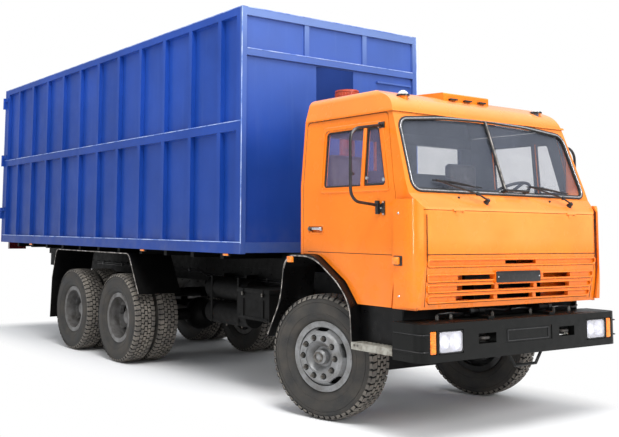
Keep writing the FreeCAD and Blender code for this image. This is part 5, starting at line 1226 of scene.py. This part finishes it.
class TRUCK_OT_bumper_trim(bpy.types.Operator):
    """Makes the bumper's plate frame, flange, mouldings, tow hooks, bolts and inner shroud, with dark side
    sheets of painted shade
    """
    bl_idname = "truck.bumper_trim"
    bl_label = "Bumper trim"

    def execute(self, context):
        x = BUMPER_X
        rim = Shape("plate_frame", "chassis", "satin_black")
        rim.plate(corners(bumper_face(-0.006), (-0.268, 0.748), (0.268, 0.842)), ALONG,
                  0.006, 0.006, 0.0015, 0.010)
        flange = Shape("bumper_flange", "chassis", "bumper_paint")
        flange.box(at(x - 0.300, -1.185, 0.918), at(x - 0.050, 1.185, 0.928), 0.004)
        hooks = Shape("tow_hooks", "chassis", "iron")
        bolts = Shape("bumper_bolts", "chassis", "nut_steel")
        # The shroud and its side sheets also close the see-through gaps behind the lid, as dark sheets of
        # painted shade.
        shroud = Shape("radiator_shroud", "chassis", "chassis_paint")
        shroud.box(at(0.962, -0.475, 0.700), at(0.972, 0.475, 1.000), 0.003)
        pair(shroud.box, at(0.984, 0.440, 0.720), at(0.990, 1.085, 0.998), 0.002)
        mouldings = Shape("bumper_mouldings", "chassis", "satin_black")
        for side in SIDES.values():
            y = side * 0.510
            hooks.pipe([at(x + a, y + b, 0.790) for a, b in (
                (-0.100, -0.050), (-0.016, -0.050), (-0.016, 0.050), (-0.100, 0.050))], 0.012, 0.045)
            hooks.about(at(x - 0.104, y, 0.790), (0.006, 0.104, 0.038), 0.002)
            for y, z, shape in ((0.690, 0.790, (0.012, 6)), (0.370, 0.790, (0.012, 6)),
                                (0.60, 0.862, (0.009, 14, 0.006)), (0.42, 0.862, (0.009, 14, 0.006))):
                bolts.peg(at(x, side * y, z), ALONG, -0.010, -0.001, *shape)
            for z in (0.722, 0.848):
                mouldings.pipe([at(a, side * b, z) for a, b in (
                    (1.035, 1.248), (x - 0.0045, 1.248), (x - 0.0045, 1.160))], 0.004, 0.088)
        all_done(rim, flange, hooks, bolts, shroud, mouldings)
        return {"FINISHED"}


class TRUCK_OT_arches(bpy.types.Operator):
    """Makes the arches' rolled edges, their ambers and the grey step plates"""
    bl_idname = "truck.arches"
    bl_label = "Wheel arch trim"

    def execute(self, context):
        steps = Shape("step_plates", "cab", "step_metal")
        bolts = Shape("step_bolts", "cab", "nut_steel")
        # The rolled edges are in a pale finish that shows wear and a painted highlight along them.
        edges = Shape("arch_edges", "cab", "worn_and_highlit_edge")
        ambers = Shape("arch_ambers", "cab", "amber_lens")
        pair(steps.box, at(0.545, 1.108, 0.7145), at(1.008, 1.236, 0.7185), 0.0015)
        pair(steps.box, at(0.545, 1.2335, 0.660), at(1.008, 1.2385, 0.7185), 0.0015)
        for side in SIDES.values():
            low, high = sorted((side * 1.108, side * 1.236))
            for i in range(9):
                x = 0.600 + i * 0.046
                steps.box(at(x, low + 0.020, 0.718), at(x + 0.022, high - 0.016, 0.7215), 0.001)
            for x in (0.585, 0.625):
                bolts.peg(at(x, side * 1.237, 0.695), (0, side, 0), 0, 0.006, 0.010, 6)
            edges.pipe([at(x, side * 1.229, z) for x, z in (
                (-0.590, 0.660), (-0.397, 0.986), (-0.343, 1.392), (0.056, 1.392), (0.388, 1.178),
                (0.526, 1.010), (0.545, 0.720))], 0.008, 0.13)
        pair(ambers.box, at(-0.300, 1.226, 1.330), at(-0.215, 1.243, 1.384), 0.006)
        all_done(steps, bolts, edges, ambers)
        return {"FINISHED"}


# Chassis

RAIL_FACE, LINE_Y = 0.432, 0.442


class TRUCK_OT_chassis_trim(bpy.types.Operator):
    """Makes pipes, straps, rivets, hoses and guard edges under the body"""
    bl_idname = "truck.chassis_trim"
    bl_label = "Chassis trim"

    def execute(self, context):
        self.battery(*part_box("battery_box"))
        self.fuel(*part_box("fuel_tank"))
        self.air(*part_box("air_tanks"))
        self.pipes()
        self.guards(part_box("rear_guards")[1].z - 0.004)
        self.rivets(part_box("ladder_frame")[0].x + 0.14)
        return {"FINISHED"}

    def battery(self, low, high):
        lid = Shape("battery_lid", "chassis", "chassis_paint")
        clips = Shape("battery_clips", "chassis", "nut_steel")
        lid.box((low.x - 0.008, low.y - 0.008, high.z - 0.040),
                (high.x + 0.008, high.y - 0.02, high.z + 0.006), 0.008)
        lid.box((low.x + 0.02, low.y - 0.006, low.z + 0.012), (high.x - 0.02, low.y, low.z + 0.034), 0.002)
        for x in (low.x + 0.10, high.x - 0.10):
            for shape, half, inner, outer, foot, head in (
                    (lid, 0.016, 0.004, 0.014, high.z - 0.075, high.z + 0.002),
                    (lid, 0.013, 0, 0.010, low.z + 0.03, high.z - 0.10),
                    (clips, 0.009, 0.012, 0.022, high.z - 0.068, high.z - 0.034)):
                shape.box((x - half, low.y - outer, foot), (x + half, low.y - inner, head), 0.003)
            clips.peg((x, low.y - 0.019, high.z - 0.040), ALONG, -0.014, 0.014, 0.004, 10)
        all_done(lid, clips)

    def fuel(self, low, high):
        straps = Shape("fuel_straps", "chassis", "chassis_paint")
        for x in (low.x + 0.135, high.x - 0.185):
            ring = corners(lambda y, z: Vector((x, y, z)), (low.y + 0.02, low.z - 0.005),
                           (high.y + 0.005, high.z + 0.005))
            straps.plate(ring, ALONG, 0.050, 0.075, 0.0, 0.010, 8)
        cap = Shape("fuel_cap", "chassis", "nut_steel")
        spot = Vector(((low.x + high.x) / 2 + 0.22, high.y - 0.12, high.z))
        cap.peg(spot, UP, -0.004, 0.030, 0.050, 28)
        cap.peg(spot, UP, 0.028, 0.046, 0.062, 16, 0.056)
        all_done(straps, cap)

    def air(self, low, high):
        straps = Shape("air_tank_straps", "chassis", "chassis_paint")
        for x in (low.x + 0.14, high.x - 0.14):
            straps.box((x - 0.018, low.y - 0.004, low.z + 0.02), (x + 0.018, low.y + 0.006, high.z - 0.02),
                       0.002)
        drains = Shape("air_tank_drains", "chassis", "nut_steel")
        for x in (low.x + 0.25, high.x - 0.25):
            drains.peg((x, (low.y + high.y) / 2, low.z), UP, -0.022, 0.006, 0.009, 8)
        all_done(straps, drains)

    def pipes(self):
        lines = Shape("brake_lines", "chassis", "satin_black")
        for y in (side * LINE_Y for side in SIDES.values()):
            for z, kink, radius in ((1.060, 0.40, 0.0065), (1.082, 0.36, 0.0055)):
                lines.pipe([(2.10, y, z), (kink, y, z), (kink - 0.10, y, z + 0.040), (-2.60, y, z + 0.040)],
                           radius, 0.05)
            for x in (1.6, 0.9, 0.0, -0.9, -1.8, -2.4):
                lines.about((x, y, 1.071 if x > 0.35 else 1.111), (0.012, 0.010, 0.022), 0.002)
        hoses = Shape("front_hoses", "chassis", "satin_black")
        for y, z in ((-0.78, 0.962), (-0.30, 0.975), (0.12, 0.968), (0.66, 0.960)):
            hoses.pipe([at(1.060, y, z), at(1.100, y + 0.09, z + 0.012), at(1.090, y + 0.30, z - 0.008),
                        at(1.050, y + 0.40, z + 0.004)], 0.011, 0.06)
        fittings = Shape("front_fittings", "chassis", "nut_steel")
        for y in (-0.86, -0.70, -0.20, 0.30, 0.62, 0.84):
            fittings.bar(at(1.120, y, 0.928), at(1.120, y, 0.960), 0.014, 6)
            fittings.bar(at(1.120, y, 0.956), at(1.120, y, 0.968), 0.009, 12)
        all_done(lines, hoses, fittings)

    def guards(self, top):
        # The guards' rolled edges are in the pale finish that shows wear and a painted highlight.
        trim = Shape("guard_edges", "chassis", "worn_and_highlit_edge")
        for side in SIDES.values():
            trim.pipe([(x, side * 1.219, z) for x, z in (
                (REAR_X - 0.700, 0.900), (REAR_X - 0.560, top), (MID_X + 0.290, top),
                (MID_X + 0.556, 0.852))], 0.006, 0.05)
        flaps = Shape("mud_flap_stiffeners", "chassis", "chassis_paint")
        pair(flaps.box, (REAR_X - 0.742, 0.66, 0.870), (REAR_X - 0.702, 1.20, 0.900))
        brace = Shape("rear_brace", "chassis", "chassis_paint")
        ring = corners(lambda y, z: Vector((-2.512, y, z)), (-0.425, 0.865), (0.425, 1.020))
        brace.plate(ring, ALONG, 0.008, 0.025, 0.002)
        for z in (0.868, 1.016):
            brace.about((-2.492, 0, z), (0.020, 0.395, 0.004), 0.002)
        all_done(trim, flaps, brace)

    def rivets(self, start):
        rows = Shape("frame_rivets", "chassis", "chassis_paint")
        spots = [(start + i * 0.185, z) for i in range(46) for z in (0.985, 1.142)]
        for side in SIDES.values():
            for x, z in spots:
                rows.peg((x, side * RAIL_FACE, z), (0, side, 0), -0.002, 0.006, 0.010, 8, 0.006)
        rows.done()


# Load body

WALL_FACE, WALL_FRONT, RAIL_OUT = 1.181, 2.185, 1.2305


class TRUCK_OT_body_trim(bpy.types.Operator):
    """Makes the load body's weld beads, pale edge pipes of painted highlight, marker lamps, gate latches and
    tail lenses
    """
    bl_idname = "truck.body_trim"
    bl_label = "Load body trim"

    def execute(self, context):
        self.welds(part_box("side_wall_right")[0].x)
        self.markers()
        self.latches()
        self.tail(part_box("tail_lamps")[0].x)
        return {"FINISHED"}

    def welds(self, back):
        beads = Shape("body_welds", "chassis", "body_paint")
        # Pale pipes of painted highlight along the outer edges of the rails, belts and corners.
        edges = Shape("body_edge_highlights", "chassis", "edge_highlight_paint")
        near = WALL_FRONT + 0.0285
        for z in (1.493, 2.602, 2.700, 3.771):
            pair(beads.pipe, [(back + 0.10, WALL_FACE, z), (2.118, WALL_FACE, z)], 0.0045)
        for z in (3.771, 3.435, 3.363):
            beads.pipe([(WALL_FRONT, -1.165, z), (WALL_FRONT, 1.165, z)], 0.004)
        for z in (1.4925, 2.6975, 3.8515):
            pair(edges.pipe, [(back + 0.02, RAIL_OUT, z), (near, RAIL_OUT, z)], 0.005)
        pair(edges.pipe, [(near, RAIL_OUT, 1.480), (near, RAIL_OUT, 3.8515)], 0.005)
        for z in (3.433, 3.8515):
            edges.pipe([(near, -1.165, z), (near, 1.165, z)], 0.005)
        all_done(beads, edges)

    def markers(self):
        base = Shape("side_marker_bases", "chassis", "satin_black")
        lens = Shape("side_markers", "chassis", "amber_lens")
        for x in (-6.536, -3.039, -1.300):
            pair(base.box, at(x - 0.050, 1.196, 1.352), at(x + 0.050, 1.226, 1.380), 0.004)
            pair(lens.box, at(x - 0.042, 1.222, 1.356), at(x + 0.042, 1.238, 1.376), 0.004)
        all_done(base, lens)

    def latches(self):
        for word, side in SIDES.items():
            latch = Shape("gate_latches_" + word, "gate_" + word, "body_paint")
            seal = Shape("gate_seal_" + word, "gate_" + word, "seal_rubber")
            x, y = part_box("gate_" + word)[0].x, side * 0.084
            latch.bar((x + 0.016, y, 1.46), (x + 0.016, y, 3.78), 0.014, 16)
            for z in (1.55, 2.05, 2.55, 3.05, 3.55):
                latch.about((x + 0.021, y, z), (0.019, 0.028, 0.024), 0.005)
            seal.box((x + 0.006, side * 0.0008, 1.385), (x + 0.056, side * 0.010, 3.852), 0)
            all_done(latch, seal)

    def tail(self, x):
        red = Shape("tail_lenses", "chassis", "red_lens")
        orange = Shape("tail_ambers", "chassis", "amber_lens")
        for y, lens in ((0.905, red), (1.000, red), (1.095, orange)):
            pair(lens.box, (x - 0.014, y - 0.042, 1.284), (x + 0.004, y + 0.042, 1.376), 0.008)
        all_done(red, orange)


# Inside the cab

SEAT_Y = 0.780

# The back wall's lining round its windows, as low and high corners of (y, z)
BACK_LINING = (((-1.090, 1.47), (1.090, 2.185)), ((-1.075, 2.475), (1.075, 2.575)),
               ((-0.265, 2.185), (0.265, 2.475)), ((-1.080, 2.185), (-0.925, 2.475)),
               ((0.925, 2.185), (1.080, 2.475)))


class TRUCK_OT_seats(bpy.types.Operator):
    """Makes the two padded seats, puffed up by a short cloth simulation"""
    bl_idname = "truck.seats"
    bl_label = "Seats"

    def execute(self, context):
        for word, side in SIDES.items():
            y = side * SEAT_Y
            for part, low, high, corner in (
                    ("cushion", (0.050, y - 0.215, 1.660), (0.500, y + 0.215, 1.800), 0.05),
                    ("back", (-0.075, y - 0.205, 1.790), (0.015, y + 0.205, 2.300), 0.04)):
                name = "seat_%s_%s" % (part, word)
                pad = self.pad(name, at(*low), at(*high), corner)
                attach(pad, "cab")
                if name == "seat_cushion_right":
                    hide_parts("seats")
            base = Shape("seat_base_" + word, "cab", "cab_plastic")
            base.box(at(0.060, y - 0.200, 1.4475), at(0.480, y + 0.200, 1.600), 0.012)
            base.box(at(0.040, y - 0.220, 1.595), at(0.505, y + 0.220, 1.650), 0.014)
            base.box(at(-0.082, y - 0.16, 1.640), at(-0.050, y + 0.16, 2.150), 0.010)
            base.done()
        return {"FINISHED"}

    def pad(self, name, low, high, corner):
        bm = bmesh.new()
        size = high - low
        block(bm, size, Matrix.Translation((low + high) / 2), min(corner, min(size) * 0.45), 4)
        pad = placed(name, drawn(bm, name))
        pad.data.materials.append(finish("seat_cover"))
        self.puff(pad)
        return pad

    def puff(self, pad):
        """Remeshes the pad, blows it up as cloth and keeps each point near where it began."""
        context = bpy.context
        for other in context.view_layer.objects:
            other.select_set(False)
        context.view_layer.objects.active = pad
        pad.select_set(True)
        remesh = pad.modifiers.new("remesh", "REMESH")
        remesh.mode = "VOXEL"
        remesh.voxel_size = 0.012
        bpy.ops.object.modifier_apply(modifier="remesh")
        start = [v.co.copy() for v in pad.data.vertices]
        seams = pad.vertex_groups.new(name="seams")
        centre = sum((point.y for point in start)) / len(start)
        pitch = settings().seam_pitch
        for vert, point in zip(pad.data.vertices, start):
            across = (point.y - centre) / pitch + 0.5
            if abs(across - round(across)) * pitch < 0.008 and abs(point.y - centre) < 2.2 * pitch:
                seams.add([vert.index], 1.0, "REPLACE")
        cloth = pad.modifiers.new("cloth", "CLOTH")
        cloth.settings.vertex_group_mass = "seams"
        cloth.settings.use_pressure = True
        cloth.settings.uniform_pressure_force = 4.0
        cloth.settings.effector_weights.gravity = 0.0
        cloth.point_cache.frame_start = 1
        cloth.point_cache.frame_end = 20
        for number in range(1, 21):
            context.scene.frame_set(number)
        bpy.ops.object.modifier_apply(modifier="cloth")
        context.scene.frame_set(1)
        cap = settings().seat_swell
        for vert, origin in zip(pad.data.vertices, start):
            way = vert.co - origin
            if way.length > cap:
                vert.co = origin + way.normalized() * cap
        pad.data.update()
        finer = pad.modifiers.new("finer", "SUBSURF")
        finer.levels = finer.render_levels = 1
        for face in pad.data.polygons:
            face.use_smooth = True


class TRUCK_OT_cab_inside(bpy.types.Operator):
    """Makes the cab's lining, the instruments and the levers"""
    bl_idname = "truck.cab_inside"
    bl_label = "Inside the cab"

    def execute(self, context):
        lining = Shape("cab_lining", "cab", "lining_cloth")
        wall = 3.110
        for low, high in BACK_LINING:
            lining.box((wall + 0.001, *low), (wall + 0.010, *high), 0.003)
        lining.box((wall + 0.010, -0.985, 2.728), (FRONT_X + 0.640, 0.985, 2.736), 0.004)
        lining.box((wall + 0.12, -0.475, 1.526), (FRONT_X + 0.740, 0.475, 1.540), 0.006)
        dials = Shape("instruments", "cab", "satin_black")
        faces = Shape("dial_faces", "cab", "dial_face")
        for y, radius in ((0.46, 0.038), (0.60, 0.052), (0.74, 0.052), (0.88, 0.038)):
            dial = (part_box("dashboard")[0].x + 0.010, y, 1.806), (-1, 0, 0.25), 28
            dials.turned(collar(-0.004, 0.012, radius, radius + 0.007, radius + 0.006), *dial)
            faces.turned(collar(-0.002, 0.002, 0, radius), *dial)
        levers = Shape("levers", "cab", "satin_black")
        levers.pipe([at(0.560, 0.330, 1.482), at(0.540, 0.330, 1.72), at(0.470, 0.340, 1.90)], 0.010, 0.08)
        levers.ball(at(0.466, 0.341, 1.915), 0.026)
        levers.pipe([at(0.680, 0.600, 1.900), at(0.672, 0.540, 1.930), at(0.665, 0.470, 1.950)], 0.006, 0.02)
        all_done(lining, dials, faces, levers)
        return {"FINISHED"}


class TRUCK_OT_intake(bpy.types.Operator):
    """Makes the air intake's louvred cap and clamps"""
    bl_idname = "truck.intake"
    bl_label = "Air intake"

    def execute(self, context):
        centre = middle("air_intake")
        foot = (centre.x, centre.y, 0)
        cap = Shape("intake_louvres", "chassis", "intake_paint")
        for i in range(28):
            angle = 2 * math.pi * i / 28
            spot = Vector((centre.x + math.cos(angle) * 0.113, centre.y + math.sin(angle) * 0.113, 2.925))
            cap.about(spot, (0.006, 0.003, 0.036), 0.001, Matrix.Rotation(angle + math.radians(28), 3, "Z"))
        cap.turned([(2.972, 0), (2.972, 0.119), (2.984, 0.117), (2.994, 0.090), (2.999, 0.0)], foot, UP, 40)
        cap.turned([(2.880, 0.080), (2.880, 0.118), (2.888, 0.119), (2.890, 0.080)], foot, UP, 40)
        clamps = Shape("intake_clamps", "chassis", "satin_black")
        for z in (1.62, 2.30, 2.84):
            clamps.turned(collar(z, z + 0.024, 0.073, 0.081), foot, UP, 36)
            clamps.about((centre.x, centre.y - 0.090, z + 0.012), (0.006, 0.016, 0.012), 0.002)
        all_done(cap, clamps)
        return {"FINISHED"}


# Stage

LAMPS = (  # name, place, what it looks at, size and power
    ("key_lamp", (9.0, -5.0, 12.0), (1.5, 0.0, 1.5), 5.0, 1150.0),
    ("front_lamp", (14.0, 1.5, 7.0), (3.0, 0.0, 1.6), 5.0, 760.0),
    ("top_lamp", (4.0, -2.0, 10.0), (3.2, -0.3, 2.2), 4.0, 320.0),
    ("side_lamp", (-3.0, -12.0, 8.0), (-1.5, 0.0, 2.0), 6.0, 220.0),
    ("glint_lamp", (8.2, -11.5, 1.75), (4.2, -1.2, 1.6), 0.4, 55.0),
)

# The camera, in pixels of a picture 619 wide and 437 high, in degrees and in metres
PICTURE = (619.0, 437.0)
FOCAL, AXIS = 860.0, (220.5, 146.1)
YAW, PITCH, ROLL = (math.radians(a) for a in (146.37, 5.55, 0.63))
EYE = (5.873, -6.077, 1.614)


class TRUCK_OT_stage(bpy.types.Operator):
    """Makes the floor, the backdrop, the lamps and the camera"""
    bl_idname = "truck.stage"
    bl_label = "Make the stage"

    def execute(self, context):
        self.ground()
        self.room(context)
        self.lamps()
        self.camera(context)
        context.scene.view_settings.view_transform = "Standard"
        return {"FINISHED"}

    def ground(self):
        bm = bmesh.new()
        bmesh.ops.create_grid(bm, x_segments=1, y_segments=1, size=60)
        floor = placed("floor", drawn(bm, "floor"))
        m = Shader("stage_white")
        floor.data.materials.append(m.finish(
            Base_Color=(0.93, 0.93, 0.93), Roughness=1.0, Specular_IOR_Level=0.0))
        self.whiten(m)

    def whiten(self, m):
        """Shows the far floor as plain white and keeps the lit floor round the truck, for its shadow."""
        rays = [m.add("ShaderNodeLightPath", {}, out=name)
                for name in ("Is Camera Ray", "Is Glossy Ray", "Is Transmission Ray")]
        seen = (rays[0] + rays[1] + rays[2]).clamped()
        gaps = [(m.axis(axis).math("ABSOLUTE") - half).math("MAXIMUM", 0.0)
                for axis, half in ((0, CAD_BOX[1].x), (1, 1.25))]
        reach = (gaps[0] * gaps[0] + gaps[1] * gaps[1]).math("SQRT")
        white = m.add("ShaderNodeEmission", {}, (1, 1, 1), 1.0)
        surface = Socket(m, m.surface.outputs[0])
        mixed = m.add("ShaderNodeMixShader", {}, seen * m.span(reach, 0.0, 0.62), surface, white)
        m.feed(m.tree.nodes["Material Output"].inputs["Surface"], mixed)

    def room(self, context):
        """Pale light all round, and plain white where the camera looks past the truck."""
        world = bpy.data.worlds.new("pale_room")
        context.scene.world = world
        world.use_nodes = True
        nodes, links = world.node_tree.nodes, world.node_tree.links
        room, white = nodes["Background"], nodes.new("ShaderNodeBackground")
        for light, colour, strength in ((room, (0.93, 0.96, 1.0, 1), 0.55), (white, (1, 1, 1, 1), 1.0)):
            light.inputs["Color"].default_value = colour
            light.inputs["Strength"].default_value = strength
        path = nodes.new("ShaderNodeLightPath")
        either = nodes.new("ShaderNodeMath")
        either.operation = "MAXIMUM"
        mix = nodes.new("ShaderNodeMixShader")
        for source, target in ((path.outputs["Is Camera Ray"], either.inputs[0]),
                               (path.outputs["Is Transmission Ray"], either.inputs[1]),
                               (either.outputs[0], mix.inputs[0]), (room.outputs[0], mix.inputs[1]),
                               (white.outputs[0], mix.inputs[2]),
                               (mix.outputs[0], nodes["World Output"].inputs["Surface"])):
            links.new(source, target)

    def lamps(self):
        for name, place, aim, size, power in LAMPS:
            lamp = bpy.data.lights.new(name, "AREA")
            lamp.energy = power
            lamp.size = size
            if name == "glint_lamp":
                lamp.shape = "RECTANGLE"
                lamp.size_y = 1.3
            obj = placed(name, lamp)
            obj.location = place
            obj.rotation_euler = (Vector(aim) - Vector(place)).to_track_quat("-Z", "Y").to_euler()

    def camera(self, context):
        wide, tall = PICTURE
        data = bpy.data.cameras.new("photo_camera")
        data.sensor_width = 36.0
        data.lens = FOCAL * data.sensor_width / wide
        data.shift_x = (wide / 2 - AXIS[0]) / wide
        data.shift_y = (AXIS[1] - tall / 2) / wide
        data.clip_end = 200.0
        ahead = Vector((math.cos(PITCH) * math.cos(YAW), math.cos(PITCH) * math.sin(YAW), math.sin(PITCH)))
        right = Vector((math.sin(YAW), -math.cos(YAW), 0))
        up = right.cross(ahead)
        right, up = (right * math.cos(ROLL) + up * math.sin(ROLL),
                     up * math.cos(ROLL) - right * math.sin(ROLL))
        turn = Matrix((right, up, -ahead)).transposed()
        camera = placed("photo_camera", data)
        camera.matrix_world = Matrix.Translation(at(*EYE)) @ turn.to_4x4()
        context.scene.camera = camera


class TRUCK_PT_panel(bpy.types.Panel):
    """Lists the truck's sizes, colours and steps"""
    bl_idname = "TRUCK_PT_panel"
    bl_label = "Truck"
    bl_space_type = "VIEW_3D"
    bl_region_type = "UI"
    bl_category = "Truck"

    def draw(self, context):
        for name in TruckSettings.__annotations__:
            self.layout.prop(context.scene.truck, name)
        for step in STEPS:
            self.layout.operator(step.bl_idname)


STEPS = (TRUCK_OT_stage, TRUCK_OT_solids, TRUCK_OT_tyres, TRUCK_OT_wheel_nuts, TRUCK_OT_windscreen,
         TRUCK_OT_wipers, TRUCK_OT_doors, TRUCK_OT_mirror_arms, TRUCK_OT_cab_trim, TRUCK_OT_roof,
         TRUCK_OT_lamps, TRUCK_OT_bumper_trim, TRUCK_OT_arches, TRUCK_OT_chassis_trim,
         TRUCK_OT_body_trim, TRUCK_OT_seats, TRUCK_OT_cab_inside, TRUCK_OT_intake)
CLASSES = (TruckSettings, *STEPS, TRUCK_PT_panel)


def register():
    for cls in CLASSES:
        bpy.utils.register_class(cls)
    bpy.types.Scene.truck = PointerProperty(type=TruckSettings)


def unregister():
    del bpy.types.Scene.truck
    for cls in reversed(CLASSES):
        bpy.utils.unregister_class(cls)


def main():
    register()
    for step in STEPS:
        group, name = step.bl_idname.split(".")
        getattr(getattr(bpy.ops, group), name)()


if __name__ == "__main__":
    main()
